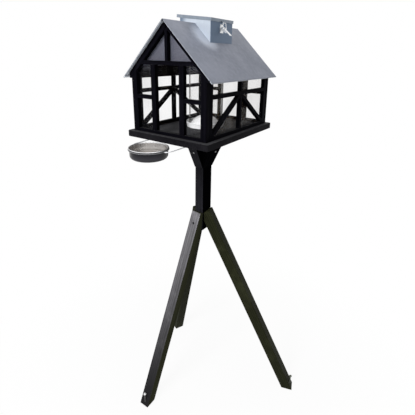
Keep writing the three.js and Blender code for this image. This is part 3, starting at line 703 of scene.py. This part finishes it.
HOUSE_STAIN = TimberStain(
    "black_stain", (0.0009, 0.0009, 0.0016), (0.0036, 0.0034, 0.0054), 0.008, (0.46, 0.62), dust=0.018)
# Painted shade: a darker copy of the house stain with no gloss, for the right corbel.
SHADED_STAIN = TimberStain("shaded_stain", (0.0009, 0.0009, 0.0012), (0.003, 0.003, 0.004), 0.0, (0.46, 0.62))
FLOOR_STAIN = TimberStain(
    "floor_stain", (0.0026, 0.0026, 0.0034), (0.0105, 0.010, 0.012), 0.02, (0.5, 0.66), dust=0.05)
# Painted shade on the post's faces turned towards +X.
POST_STAIN = TimberStain(
    "post_stain", (0.0075, 0.0073, 0.0095), (0.0155, 0.015, 0.019), 0.03, (0.46, 0.62),
    painted_shade_colour=(0.0014, 0.0014, 0.002), painted_shade_axis=0, painted_shade_span=(0.4, 0.7))
LEG_STAIN = TimberStain("leg_stain", (0.008, 0.0086, 0.004), (0.021, 0.0225, 0.011), 0.03, (0.5, 0.66))
# Painted light: a much lighter copy of the leg stain on the front leg's front face, fading towards the ground, with
# painted shade on its other faces.
FRONT_LEG_LIT_STAIN = TimberStain(
    "front_leg_stain", (0.065, 0.063, 0.066), (0.195, 0.19, 0.204), 0.04, (0.5, 0.66),
    low_share=0.07, painted_shade_colour=(0.05, 0.052, 0.03))
ROOF_ZINC = ZincFinish("roof_zinc", (0.20, 0.216, 0.265), (0.157, 0.171, 0.212), 0.45, (0.42, 0.55))
# Painted reflection: a much lighter copy of the zinc for the hems, standing in for the ground's light on their
# undersides.
HEM_REFLECTION_ZINC = ZincFinish("hem_zinc", (0.80, 0.85, 0.92), (0.66, 0.71, 0.78), 0.3, (0.4, 0.5))
LID_ZINC = ZincFinish("lid_zinc", (0.262, 0.302, 0.356), (0.205, 0.24, 0.288), 0.5, (0.36, 0.48))
CHIMNEY_ZINC = ZincFinish("chimney_zinc", (0.575, 0.63, 0.71), (0.50, 0.555, 0.63), 0.5, (0.34, 0.46))
RIGHT_PANE = ClearSheet("right_acrylic", (0.09, 0.055, 0.025), (0.30, 0.28, 0.26), 0.105, 0.24, 0.06)
LEFT_PANE = ClearSheet("left_acrylic", (0.05, 0.032, 0.016), (0.30, 0.28, 0.26), 0.04, 0.24, 0.05)
GABLE_PANE = ClearSheet(
    "gable_acrylic", (0.075, 0.075, 0.085), (0.30, 0.30, 0.32), 0.03, 0.22, 0.015, upper_tint=(0.20, 0.205, 0.27))
TUBE = ClearSheet("tube_acrylic", (0.03, 0.028, 0.026), (0.20, 0.192, 0.175), 0.014, 0.7, 0.03)
# The zone colours paint light and shade on one steel: painted shade and dark reflection outside, under the roll and
# in the bend, painted highlights on the rim's top, the inside wall and the floor.
BOWL_STEEL = SpunSteel("spun_steel", (
    (0.0, (0.008, 0.008, 0.010)),  # foot and heel
    (0.055, (0.046, 0.045, 0.052)),  # belly
    (0.1, (0.009, 0.009, 0.011)),  # neck and the lower half of the rolled rim
    (0.2, (0.88, 0.88, 0.90)),
    (0.3, (0.88, 0.88, 0.90)),  # upper half of the rim
    (0.5, (0.80, 0.775, 0.755)),  # wall inside
    (0.75, (0.20, 0.18, 0.165)),  # bend between wall and floor
    (1.0, (0.88, 0.865, 0.85))))  # floor inside
BRIGHT = PlatedSteel("bright_plate", (0.86, 0.87, 0.88), (0.16, 0.34), 0.65)
WIRE = PlatedSteel("bright_wire", (0.80, 0.81, 0.84), (0.2, 0.36), 0.4)
# Painted shade on the front nail's shank; the other nails take a dark copy, painted shade.
NAIL = PlatedSteel("nail_steel", (0.82, 0.82, 0.82), (0.2, 0.4), 0.6, shaded_below=0.07)
SHADED_NAIL = PlatedSteel("dull_nail_steel", (0.13, 0.14, 0.115), (0.3, 0.5), 0.6)
SCREW_STEEL = PlatedSteel("screw_steel", (0.42, 0.42, 0.42), (0.3, 0.5))
# Painted shade: near-black discs behind the leg screws stand for the shade in their holes.
SCREW_HOLE_SHADE = PlatedSteel("screw_sink", (0.004, 0.004, 0.004), (0.6, 0.8))
WHITE = MouldedPlastic("white_plastic", (0.90, 0.90, 0.91), (0.84, 0.835, 0.83))


# Putting pieces in the scene


class Slot(Enum):
    """Material slots of the record."""

    TIMBER = "timber"
    STAND = "stand_timber"
    ZINC = "zinc"
    ACRYLIC = "acrylic"
    STEEL = "stainless"
    BRIGHT = "bright_steel"
    PLASTIC = "white_plastic"


def body_of(node: str) -> str:
    """Finds the body that a CAD node rides on."""
    bodies = frame["record"]["behaviour"]["bodies"]
    return next(body for body, nodes in bodies.items() if node in nodes)


def half_width(node: str) -> float:
    """Gives half of a CAD node's width along X, which is the radius of a round one."""
    low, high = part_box(node)
    return (high.x - low.x) / 2


def middle_of(node: str) -> Array:
    """Gives the middle of a CAD node as seen from above, with no height."""
    low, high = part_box(node)
    return np.array([(low.x + high.x) / 2, (low.y + high.y) / 2, 0.0])


def house_origin() -> Vector:
    """Gives the middle of the floor board's top."""
    return Vector((*middle_of("floor_board")[:2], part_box("floor_board")[1].z))


def fit(piece: Piece, finish: Material, body: str = "table", stands_for: str | None = None) -> None:
    """Gives a piece its finish and its body, and reports it.

    Args:
        piece: The piece.
        finish: Its material.
        body: Body that it rides on.
        stands_for: CAD node that it replaces.
    """
    piece.data.materials.clear()
    piece.data.materials.append(finish)
    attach(piece, body)
    if stands_for is not None:
        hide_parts(stands_for)
    log.info("%s: %d points on body %s", piece.name, len(piece.data.vertices), body)


def dress(node: str, finish: Material, edge: float, crease: float = 30.0) -> None:
    """Puts a copy with eased edges in the place of a CAD node."""
    fit(eased_copy(node, edge, crease), finish, body_of(node), node)


@dataclass
class Timberwork:
    """All timber pieces: the frames of the house, the floor board and the stand."""

    edge: float = 0.9 * MM
    floor_edge: float = 2.0 * MM
    stand_edge: float = 1.8 * MM
    pith_offset: Point = (0.031, 0.027, -0.022)
    finishes: dict[tuple, Material] = field(default_factory=dict)

    def grain_of(self, node: str) -> Vector:
        """Finds the direction of a piece's grain, which is the longest principal axis of its points.

        Args:
            node: Name of the CAD node.

        Returns:
            The direction, rounded so that like pieces share it.
        """
        mesh = frame["nodes"][node].data
        points = np.empty(len(mesh.vertices) * 3)
        mesh.vertices.foreach_get("co", points)
        points = points.reshape(-1, 3)
        axis = np.linalg.svd(points - (points.min(0) + points.max(0)) / 2, full_matrices=False)[2][0]
        axis *= np.sign(axis[np.argmax(np.abs(axis))])
        return Vector(np.round(axis, 2) + 0.0).normalized()

    def finish_for(self, node: str, stain: TimberStain) -> Material:
        """Gives the stain with the grain along a piece, made once for each direction.

        Args:
            node: Name of the CAD node.
            stain: Its stain.

        Returns:
            The material.
        """
        grain_way = self.grain_of(node)
        low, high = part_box(node)
        key = (stain.name, tuple(round(value, 2) for value in grain_way))
        if key not in self.finishes:
            centre = (low + high) / 2 + Vector(self.pith_offset)
            self.finishes[key] = stain.material(grain_way, tuple(centre))
        return self.finishes[key]

    def build(self) -> None:
        """Copies every timber node with eased edges and stains it."""
        # The front leg takes a painted-light copy of its stain and the right corbel a painted-shade copy.
        special = {"floor_board": FLOOR_STAIN, "leg_front": FRONT_LEG_LIT_STAIN, "corbel_right": SHADED_STAIN}
        for part in frame["record"]["subparts"]:
            node, slot = part["node"], Slot(part["material_slot"])
            if slot is Slot.STAND:
                stain, edge = LEG_STAIN if node.startswith("leg") else POST_STAIN, self.stand_edge
            elif slot is Slot.TIMBER:
                stain, edge = HOUSE_STAIN, self.floor_edge if node == "floor_board" else self.edge
            else:
                continue
            dress(node, self.finish_for(node, special.get(node, stain)), edge)


@dataclass
class Glazing:
    """The clear sheets behind the frames."""

    def build(self) -> None:
        """Gives the four panes their finish."""
        for sheet, nodes in ((GABLE_PANE, ("gable_pane_front", "gable_pane_back")),
                             (LEFT_PANE, ("side_pane_left",)), (RIGHT_PANE, ("side_pane_right",))):
            finish = sheet.material()
            for node in nodes:
                slots = frame["nodes"][node].data.materials
                slots.clear()
                slots.append(finish)
                log.info("%s: finish %s", node, finish.name)


@dataclass
class Roof:
    """Folded zinc sheet with hemmed edges, the chimney through it and the chimney's hinged lid."""

    pitch: float = math.radians(44.1)
    sheet: float = 1.5 * MM
    hem_width: float = 13 * MM
    hem_thickness: float = 1.3 * MM
    hem_inset: float = 0.4 * MM
    ridge_gap: float = 4 * MM
    bead: float = 0.9 * MM
    rivet: float = 2.2 * MM
    strap_thickness: float = 1.1 * MM
    strap_spacing: float = 48.6 * MM
    strap_drop: float = 22 * MM
    chimney_shade: Rgb = (0.085, 0.132, 0.205)
    chimney_corner: float = 1.9 * MM
    shine_aside: float = 0.72
    shine_before: float = 12 * MM

    def slope(self, x: Array | float, drop: float) -> Array:
        """Height of a line parallel to the slopes over the ridge.

        Args:
            x: Distance from the ridge, either way.
            drop: Square distance below the sheet's top.

        Returns:
            Ridge height minus |x| tan pitch minus drop / cos pitch, where the ridge is found from the eave.
        """
        fall, lean = math.tan(self.pitch), math.cos(self.pitch)
        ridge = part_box("roof_sheet")[0].z + half_width("roof_sheet") * fall + self.sheet / lean
        return ridge - np.abs(x) * fall - drop / lean

    def hem(self, path: Array, across: Array | Point, upright: Array) -> Surface:
        """Makes one hem, a flat loop with round ends that is drawn in to a point at both ends of its path.

        Args:
            path: Points of the path.
            across: Direction of the hem's width.
            upright: Direction of its thickness.

        Returns:
            Points and quads. The section is a super-ellipse with the fourth power.
        """
        path = np.concatenate([path[:1], path, path[-1:]])
        share = np.ones(len(path))
        share[[0, -1]] = 0
        cos, sin = np.cos(circle(28)), np.sin(circle(28))
        loop = joined(np.sign(cos) * np.abs(cos) ** 0.5 * self.hem_width / 2,
                      np.sign(sin) * np.abs(sin) ** 0.5 * self.hem_thickness / 2)
        return swept(path, across, upright, share[:, None, None] * loop, False)

    def hems(self) -> None:
        """Folds the edges of the sheet under, along both eaves and both verges."""
        low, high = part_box("roof_sheet")
        middle, reach = house_origin().x, half_width("roof_sheet")
        cos, sin = math.cos(self.pitch), math.sin(self.pitch)
        below = self.sheet + self.hem_inset + self.hem_thickness / 2
        eave = reach - self.hem_width / 2 * cos - self.hem_inset
        verge = self.hem_inset + self.hem_width / 2
        length = np.linspace(low.y + self.hem_inset, high.y - self.hem_inset, 9)
        along = np.linspace(self.ridge_gap, reach - self.hem_width, 12)
        parts = []
        for side in (-1, 1):
            down, out = np.array([side * cos, 0, -sin]), np.array([side * sin, 0, cos])
            parts.append(self.hem(joined(middle + side * eave, length, self.slope(eave, below)), down, out))
            for y in (low.y + verge, high.y - verge):
                path = joined(middle + side * along, y, self.slope(along, below))
                parts.append(self.hem(path, (0.0, 1.0, 0.0), out))
        # The hems take the lighter zinc with its painted reflection.
        fit(new_piece("roof_hems", several(parts)), HEM_REFLECTION_ZINC.material())

    def flashing(self, finish: Material) -> None:
        """Runs a bead of solder round the chimney's foot, along both slopes and over the ridge.

        Args:
            finish: The bead's material.
        """
        low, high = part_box("chimney")
        middle = house_origin().x
        half, rise = high.x - middle, -self.bead * 0.2
        y, x = np.linspace(low.y, high.y, 24), np.linspace(-half, half, 41)
        runs = [(joined(middle + side * half, y, self.slope(half, rise)), (0, 0, 1)) for side in (-1, 1)]
        runs += [(joined(middle + x, end, self.slope(x, rise)), (0, 1, 0)) for end in (low.y, high.y)]
        parts = [round_wire(path, self.bead, plane, 10) for path, plane in runs]
        fit(new_piece("chimney_solder", several(parts)), finish)

    def rivets(self, finish: Material) -> None:
        """Sets a domed rivet through each strap of the lid's hinge.

        Args:
            finish: The rivets' material.
        """
        wall = 2 * house_origin().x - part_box("chimney")[1].x - self.strap_thickness
        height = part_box("lid")[1].z - self.strap_drop
        rows = middle_of("chimney")[1] + self.strap_spacing * np.array([-1, 0, 1])
        head = domed(self.rivet, self.rivet * 0.55)
        parts = [aimed(head, (wall, y, height), (-1, 0, 0)) for y in rows]
        fit(new_piece("hinge_rivets", several(parts)), finish)

    def build(self) -> None:
        """Builds the roof, the chimney and the lid."""
        low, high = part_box("chimney")
        # The chimney's +X side takes painted shade.
        chimney = replace(CHIMNEY_ZINC, shaded_side_colour=self.chimney_shade, shaded_side_from=high.x - self.chimney_corner,
                          width=high.x - low.x).material()
        # Painted reflection of the chimney on the roof just in front of it.
        aside = half_width("chimney") * self.shine_aside
        shine = (house_origin().x + aside, low.y - self.shine_before, float(self.slope(aside, 0.0)))
        dress("roof_sheet", replace(ROOF_ZINC, shine=shine).material(), 0.3 * MM)
        dress("chimney", chimney, 0.25 * MM, 40)
        dress("lid", LID_ZINC.material(), 0.3 * MM, 40)
        self.hems()
        self.flashing(chimney)
        self.rivets(chimney)


@dataclass
class Latch:
    """Toggle latch on the chimney's low wall: plate, lever and wire loop."""

    plate: float = 1.5 * MM
    rivet: float = 2.0 * MM
    inset: float = 5.0 * MM

    def build(self) -> None:
        """Builds the latch with its rivets."""
        bright = BRIGHT.material()
        for node, edge, crease in (("latch_plate", 0.25, 40), ("latch_lever", 0.3, 40), ("latch_loop", 0.1, 60)):
            dress(node, bright, edge * MM, crease)
        low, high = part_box("latch_plate")
        head = domed(self.rivet, self.rivet * 0.5)
        corner = Vector((0, self.inset, self.inset))
        low, high = low + corner, high - corner
        places = [(low.x + self.plate, y, z) for y in (low.y, high.y) for z in (low.z, high.z)]
        parts = [aimed(head, place, (1, 0, 0)) for place in places]
        fit(new_piece("latch_rivets", several(parts)), bright)


@dataclass
class Feeder:
    """Seed tube standing in its tray under the chimney."""

    wall: float = 3.0 * MM
    lip: float = 0.3 * MM
    outlet_half: float = 22.0 * MM
    outlet_height: float = 14.0 * MM
    outlets: int = 4
    tray_wall: float = 2.0 * MM
    tray_base: float = 2.4 * MM
    foot_edge: float = 1.0 * MM
    rim: float = 2.5 * MM
    corner: float = 8.0 * MM
    taper: float = 5.0 * MM
    dome_rise: float = 47.0 * MM
    dome_gap: float = 1.0 * MM
    dome_edge: float = 1.2 * MM
    seat: float = 0.1 * MM

    def tube(self) -> None:
        """Builds the tube with its arched outlets.

        The foot of the wall is lifted round each outlet by the height of a half ellipse: outlet height times the
        root of one minus the square of the distance along the wall over half the outlet's width.
        """
        low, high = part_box("silo_tube")
        radius, turns = half_width("silo_tube"), circle(384)
        quarter = 2 * np.pi / self.outlets
        offset = (turns + quarter / 2) % quarter - quarter / 2
        along = np.abs(offset) * radius / self.outlet_half
        foot = (low.z + self.outlet_height * np.sqrt(np.clip(1 - along ** 2, 0, 1)))[:, None]
        height = foot + (high.z - foot) * np.array([0.0, 0.02, 0.5, 0.98, 1.0])
        ease = self.lip * np.array([1.0, 0, 0, 0, 1.0])
        radii = np.concatenate([radius - ease, radius - self.wall + ease])
        heights = np.concatenate([height, height[:, ::-1]], axis=1)
        points = joined(radii * np.cos(turns)[:, None], radii * np.sin(turns)[:, None], heights)
        surface = points.reshape(-1, 3) + middle_of("silo_tube"), grid_faces(len(turns), len(radii))
        fit(new_piece("seed_tube", surface), TUBE.material(), stands_for="silo_tube")

    def tray(self) -> None:
        """Builds the tray with a rounded rim and a rounded inner corner."""
        low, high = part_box("seed_tray")
        radius, bottom, top, rim = half_width("seed_tray"), low.z, high.z, self.rim
        angle, bend = np.linspace(-np.pi / 2, np.pi, 12), np.linspace(0, np.pi / 2, 6)
        foot = radius - self.taper
        inside, floor = foot - self.tray_wall - self.corner, bottom + self.tray_base
        profile = np.concatenate([
            [(0, bottom), (foot - self.foot_edge, bottom), (foot, bottom + self.foot_edge)],
            joined(radius - rim + rim * np.cos(angle), top - rim + rim * np.sin(angle)),
            [(radius - 2 * rim - self.tray_wall * 0.2, top - rim * 2)],
            joined(inside + self.corner * np.cos(bend), floor + self.corner - self.corner * np.sin(bend)),
            [(0, floor)]])
        piece = new_piece("tray_turned", turned(profile, 128, middle_of("seed_tray")))
        fit(piece, WHITE.material(), stands_for="seed_tray")

    def dome(self) -> None:
        """Builds the white dome on the tray's floor that sends the seed outwards.

        Its height over the floor is the rise times one minus the third power of the radius over the foot's radius.
        """
        foot = half_width("silo_tube") - self.wall - self.dome_gap
        share = np.linspace(1, 0, 26)
        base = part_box("seed_tray")[0].z + self.tray_base + self.seat
        height = base + self.dome_edge + self.dome_rise * (1 - share ** 3)
        profile = np.concatenate([[(0, base), (foot, base)], joined(share * foot, height)])
        piece = new_piece("seed_dome", turned(profile, 128, middle_of("seed_tray")))
        fit(piece, WHITE.material())

    def build(self) -> None:
        """Builds tube, tray and the dome inside them."""
        self.tube()
        self.tray()
        self.dome()


@dataclass
class WaterBowl:
    """Spun bowl with a rolled rim, and the wire holder that carries it."""

    roll: float = 2.4 * MM
    sheet: float = 1.0 * MM
    floor_radius: float = 60 * MM
    dent: float = 0.8 * MM
    slack: float = 0.6 * MM
    wire: float = 2.2 * MM
    arm_offset: float = 20 * MM
    jog: float = 36 * MM
    weld: float = 3.0 * MM
    weld_sink: float = 0.4 * MM
    shade_past_ring: float = 3 * MM
    staple: float = 0.8 * MM
    staple_gap: float = 0.9 * MM
    staple_legs: float = 3 * MM
    staple_places: Pair = (20 * MM, 100 * MM)

    def bowl(self) -> None:
        """Builds the bowl from one closed profile: heel arc, straight wall, rolled rim and the same inside."""
        low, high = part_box("bowl")
        rim, roll, floor = half_width("bowl"), self.roll, self.floor_radius
        body = rim - roll / 2 - self.wire - self.slack
        heel, neck = body - floor, high.z - 2 * roll
        lift, curl = np.linspace(-np.pi / 2, 0, 16), np.radians(np.linspace(-90, 180, 18))
        outer, inner = (joined(floor + arc * np.cos(lift), low.z + heel + arc * np.sin(lift))
                        for arc in (heel, heel - self.sheet))
        foot = np.array([(0, self.dent), (floor * 0.86, self.dent), (floor * 0.9, 0)]) + (0, low.z)
        rolled = joined(rim - roll + roll * np.cos(curl), high.z - roll + roll * np.sin(curl))
        wall = joined(body - self.sheet, np.linspace(neck, low.z + heel, 6))
        well = foot[::-1] + (0, self.sheet)
        profile = np.concatenate([foot, outer, [(body, neck)], rolled, wall, inner[-2::-1], well])
        # Zone marks for the painted light and shade of the bowl's colour.
        side = np.concatenate([
            np.zeros(3), np.linspace(0, 0.06, 16), [0.1], np.where(curl < 0.1, 0.1, 0.25),
            np.full(5, 0.5), np.linspace(0.6, 0.9, 16), np.ones(3)])
        centre, turns = middle_of("bowl"), 160
        piece = new_piece("bowl_spun", turned(profile, turns, centre), 50, np.tile(side, turns))
        fit(piece, replace(BOWL_STEEL, centre=tuple(centre)).material(), "bowl", "bowl")

    def holder(self) -> None:
        """Builds the ring and its two arms, with a fillet of weld where each arm meets the ring.

        An arm leaves the ring sideways on a quadratic curve, start (1-t)^2 + knee 2t(1-t) + shoulder t^2, and
        then runs straight under the board.
        """
        low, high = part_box("wire_holder")
        centre = middle_of("bowl") + (0, 0, (low.z + high.z) / 2)
        radius, turns, level = half_width("bowl") - self.roll / 2, circle(144), (0, 0, 1)
        ring = centre + radius * joined(np.cos(turns), np.sin(turns), 0.0)
        parts = [round_wire(ring, self.wire, level, 16, True)]
        t = np.linspace(0, 1, 20)[:, None]
        for side in (-1, 1):
            start = centre + (side * radius, 0, 0)
            knee = start + (side * self.arm_offset, 0, 0)
            shoulder = knee + (0, self.jog, 0)
            curve = start * (1 - t) ** 2 + knee * 2 * t * (1 - t) + shoulder * t ** 2
            end = (shoulder[0], high.y - self.wire * 0.7, shoulder[2])
            run = np.linspace(shoulder, end, 12)[1:]
            parts.append(round_wire(np.concatenate([curve, run]), self.wire, level, 16))
            weld = start + (side * self.wire * 0.6, 0, -self.weld_sink)
            parts.append(aimed(domed(self.weld, self.weld * 0.9), weld, (side, 0, 0)))
        bright = replace(WIRE, ring_centre=tuple(centre), ring_reach=radius + self.shade_past_ring).material()
        fit(new_piece("holder_wire", several(parts)), bright, stands_for="wire_holder")
        self.staples(bright)

    def staples(self, finish: Material) -> None:
        """Drives two staples over each arm into the board's underside.

        Args:
            finish: The staples' material.
        """
        low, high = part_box("wire_holder")
        height, reach = (low.z + high.z) / 2, self.wire + self.staple_gap
        angle = np.linspace(np.pi, 2 * np.pi, 15)
        parts = []
        for x in (low.x + self.wire, high.x - self.wire):
            for y in (high.y - place for place in self.staple_places):
                bow = joined(x + reach * np.cos(angle), y, height + reach * np.sin(angle))
                tips = [[(x + side * reach, y, height + self.staple_legs)] for side in (-1, 1)]
                path = np.concatenate([tips[0], bow, tips[1]])
                parts.append(round_wire(path, self.staple, (0, 1, 0), 8))
        fit(new_piece("holder_staples", several(parts)), finish)

    def build(self) -> None:
        """Builds bowl and holder."""
        self.bowl()
        self.holder()


class Side(Enum):
    """Sides of the post, with their bearings in degrees."""

    FRONT = -90
    RIGHT = 0
    BACK = 90
    LEFT = 180


def bearing(degrees: float) -> Vector:
    """Gives the level direction at a bearing."""
    return Vector((math.cos(math.radians(degrees)), math.sin(math.radians(degrees)), 0))


@dataclass(frozen=True)
class Leg:
    """One leg: where its foot stands, and the face of the post that its top leans on."""

    name: str
    foot_reach: float
    foot_bearing: float
    face: Side
    face_out: float
    section_turn: float


@dataclass
class StandHardware:
    """Screws of the stand and the nails that peg its feet to the ground."""

    leg_width: float = 52 * MM
    top_thickness: float = 24 * MM
    top_under_board: float = 413 * MM
    screw: float = 4.0 * MM
    screw_drop: float = 58 * MM
    proud: float = 0.1 * MM
    sink_depth: float = 0.4 * MM
    corbel_height: float = 173 * MM
    corbel_reach: float = 86 * MM
    corbel_toe: float = 4 * MM
    post_half_width: float = 24.3 * MM
    post_half_depth: float = 36.8 * MM
    nail_shank: float = 3.4 * MM
    nail_tip: float = 9 * MM
    nail_head: float = 2.8 * MM
    legs: tuple[Leg, ...] = (
        Leg("leg_front", 387 * MM, -104, Side.FRONT, 36.5 * MM, 14),
        Leg("leg_right", 525 * MM, 18, Side.RIGHT, 24 * MM, 0),
        Leg("leg_left", 335 * MM, 155, Side.LEFT, 24 * MM, 0),
    )

    def leg_frame(self, leg: Leg) -> tuple[Vector, Vector, Vector]:
        """Works out a leg's foot, its direction upwards and its outer face's direction.

        Args:
            leg: The leg.

        Returns:
            Foot, upward direction and outward direction.
        """
        ground = Vector(middle_of("floor_board"))
        foot = ground + bearing(leg.foot_bearing) * leg.foot_reach
        out = leg.face_out + self.top_thickness - self.leg_width / 2
        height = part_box("floor_board")[0].z - self.top_under_board
        up = (ground + bearing(leg.face.value) * out + Vector((0, 0, height)) - foot).normalized()
        across = up.cross(bearing(leg.foot_bearing + leg.section_turn)).normalized()
        return foot, up, across.cross(up).normalized()

    def screws(self) -> None:
        """Sets a sunk screw in the top of each leg, with a dark disc of painted shade behind it, and one in the slope
        of each corbel.
        """
        head, sink = screw_head(self.screw), domed(self.screw * 1.5, self.sink_depth)
        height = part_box("floor_board")[0].z - self.top_under_board - self.screw_drop
        parts, sinks = [], []
        for leg in self.legs:
            foot, up, out = self.leg_frame(leg)
            place = foot + up * (height / up.z) + out * (self.leg_width / 2 + self.proud)
            parts.append(aimed(head, place, out))
            # A near-black disc behind each head, painted shade in the hole.
            sinks.append(aimed(sink, place - out * (2 * self.proud), out))
        for side in Side:
            out = bearing(side.value)
            post = self.post_half_depth if side in (Side.FRONT, Side.BACK) else self.post_half_width
            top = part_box(f"corbel_{side.name.lower()}")[1].z
            middle = Vector(middle_of("floor_board")) + out * (post + (self.corbel_toe + self.corbel_reach) / 2)
            middle.z = top - (self.corbel_height + self.corbel_toe) / 2
            slant = out * (self.corbel_height - self.corbel_toe)
            slant.z = self.corbel_toe - self.corbel_reach
            slant.normalize()
            parts.append(aimed(head, middle + slant * self.proud, slant))
        fit(new_piece("stand_screws", several(parts)), SCREW_STEEL.material())
        fit(new_piece("screw_sinks", several(sinks)), SCREW_HOLE_SHADE.material())

    def nails(self) -> None:
        """Turns each nail with a slightly domed head and a round-ended shank."""
        shank_shaded, dull = NAIL.material(), SHADED_NAIL.material()
        tip, dome = np.linspace(0, np.pi / 2, 8), np.linspace(0, np.pi / 2, 6)
        for leg in self.legs:
            node = leg.name.replace("leg", "peg")
            low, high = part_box(node)
            head, half = half_width(node), self.nail_head * 0.5
            neck = high.z - self.nail_head
            profile = np.concatenate([
                joined(self.nail_shank * np.sin(tip) * 0.98, low.z + self.nail_tip * (1 - np.cos(tip))),
                [(self.nail_shank, neck), (head * 0.94, neck)],
                joined(head * np.cos(dome), high.z - half + half * np.sin(dome))])
            piece = new_piece(leg.name.replace("leg", "nail"), turned(profile, 40, middle_of(node)))
            # The front nail has painted shade on its shank; the others take the dark copy, painted shade.
            fit(piece, shank_shaded if leg.face is Side.FRONT else dull, node, node)

    def build(self) -> None:
        """Builds the screws and the nails."""
        self.screws()
        self.nails()


@dataclass(frozen=True)
class Lamp:
    """Soft square lamp: where it stands and points, its side, its power in watts and whether metal mirrors it."""

    name: str
    place: Point
    target: Point
    size: float
    power: float
    mirrored: bool = True

    def build(self) -> None:
        """Adds the lamp to the scene."""
        light = bpy.data.lights.new(self.name, "AREA")
        light.size = self.size
        light.energy = self.power
        lamp = bpy.data.objects.new(self.name, light)
        lamp.location = self.place
        lamp.rotation_euler = (Vector(self.target) - Vector(self.place)).to_track_quat("-Z", "Y").to_euler()
        lamp.visible_glossy = self.mirrored
        bpy.context.scene.collection.objects.link(lamp)


@dataclass
class Studio:
    """Pale floor, soft light and white surroundings."""

    floor_size: float = 60.0
    paper: tuple[Rgb, Rgb] = ((0.80, 0.80, 0.80), (0.84, 0.84, 0.84))
    ambient: float = 0.32
    shadow_span: Pair = (0.3, 1.5)
    shadow_share: float = 0.93
    lamps: tuple[Lamp, ...] = (
        Lamp("key", (-0.2, -2.8, 3.0), (-0.1, 0.0, 1.5), 1.3, 125.0, False),
        Lamp("top", (0.3, 0.4, 4.4), (0.0, 0.0, 1.0), 2.8, 30.0),
        Lamp("fill", (3.4, -0.8, 1.6), (0.0, 0.0, 1.2), 2.4, 5.0),
    )

    def floor(self) -> None:
        """Lays the floor, which looks white to the camera but keeps the table's shadow."""
        half = self.floor_size / 2
        mesh = bpy.data.meshes.new("studio_floor")
        mesh.from_pydata([(-half, -half, 0), (half, -half, 0), (half, half, 0), (-half, half, 0)], [], [(0, 1, 2, 3)])
        ground = bpy.data.objects.new("studio_floor", mesh)
        bpy.context.scene.collection.objects.link(ground)
        recipe = Recipe("studio_paper")
        recipe.shade(base_color=recipe.mix(recipe.noise(40.0, 3.0, 0.6), *self.paper), roughness=0.9)
        rays = recipe.node("LightPath").outputs
        seen = recipe.combined("MAXIMUM", rays["Is Camera Ray"], rays["Is Glossy Ray"])
        far = recipe.span(recipe.away((0.0, 0.0, 0.0)), self.shadow_span, (self.shadow_share, 1.0))
        white = recipe.node("Emission").outputs[0]
        shaders = {0: recipe.combined("MULTIPLY", seen, far), 1: recipe.shader.outputs[0], 2: white}
        mixed = recipe.node("MixShader", shaders).outputs[0]
        recipe.feed(recipe.tree.nodes["Material Output"].inputs[0], mixed)
        mesh.materials.append(recipe.material)

    def surroundings(self) -> None:
        """Makes the world white to the camera and to reflections, and a soft grey light to the rest."""
        world = bpy.data.worlds.new("studio")
        world.use_nodes = True
        bpy.context.scene.world = world
        nodes = Nodes(world.node_tree)
        background = world.node_tree.nodes["Background"].inputs
        rays = nodes.node("LightPath").outputs
        seen = nodes.combined("MAXIMUM", rays["Is Camera Ray"], rays["Is Glossy Ray"])
        either = nodes.combined("MAXIMUM", seen, rays["Is Transmission Ray"])
        strength = nodes.node("MapRange", {"Value": either, "To Min": self.ambient, "To Max": 1.0})
        nodes.feed(background["Strength"], strength.outputs["Result"])
        nodes.feed(background["Color"], (1.0, 1.0, 1.0))

    def build(self) -> None:
        """Sets the floor, the surroundings and the lamps."""
        self.floor()
        self.surroundings()
        for lamp in self.lamps:
            lamp.build()
        bpy.context.scene.view_settings.view_transform = "Standard"


@dataclass
class PhotoCamera:
    """Camera at the photograph's viewing angle, placed from the middle of the floor board's top."""

    azimuth: float = 34.3328
    pitch: float = 19.0416
    roll: float = 1.0026
    distance: float = 1.5584841
    sidestep: float = 0.0197587
    height: float = 0.3255458
    focal_share: float = 330 / 415
    horizon_shift: float = (168 - 207.5) / 415
    sensor: float = 36.0

    def build(self) -> None:
        """Sets up the camera: its three axes come from azimuth and pitch, turned by the roll about the view."""
        azimuth, pitch, roll = (math.radians(angle) for angle in (self.azimuth, self.pitch, self.roll))
        right = Vector((math.cos(azimuth), math.sin(azimuth), 0))
        level = Vector((-math.sin(azimuth), math.cos(azimuth), 0))
        upright = Vector((0, 0, 1))
        forward = level * math.cos(pitch) - upright * math.sin(pitch)
        up = upright * math.cos(pitch) + level * math.sin(pitch)
        x_axis = right * math.cos(roll) + up * math.sin(roll)
        y_axis = up * math.cos(roll) - right * math.sin(roll)
        place = house_origin() - level * self.distance + right * self.sidestep + upright * self.height
        data = bpy.data.cameras.new("photo_camera")
        data.sensor_width = self.sensor
        data.lens = self.focal_share * self.sensor
        data.shift_y = self.horizon_shift
        camera = bpy.data.objects.new("photo_camera", data)
        camera.matrix_world = Matrix.Translation(place) @ Matrix((x_axis, y_axis, -forward)).transposed().to_4x4()
        bpy.context.scene.collection.objects.link(camera)
        bpy.context.scene.camera = camera
        log.info("camera at %.3f %.3f %.3f", *place)


def main() -> None:
    """Builds every part of the bird table, the studio and the camera."""
    logging.basicConfig(level=logging.INFO, format="%(message)s")
    for assembly in (PhotoCamera(), Timberwork(), Glazing(), Roof(), Latch(), Feeder(), WaterBowl(),
                     StandHardware(), Studio()):
        assembly.build()
        log.info("%s is built", type(assembly).__name__)


if __name__ == "__main__":
    main()
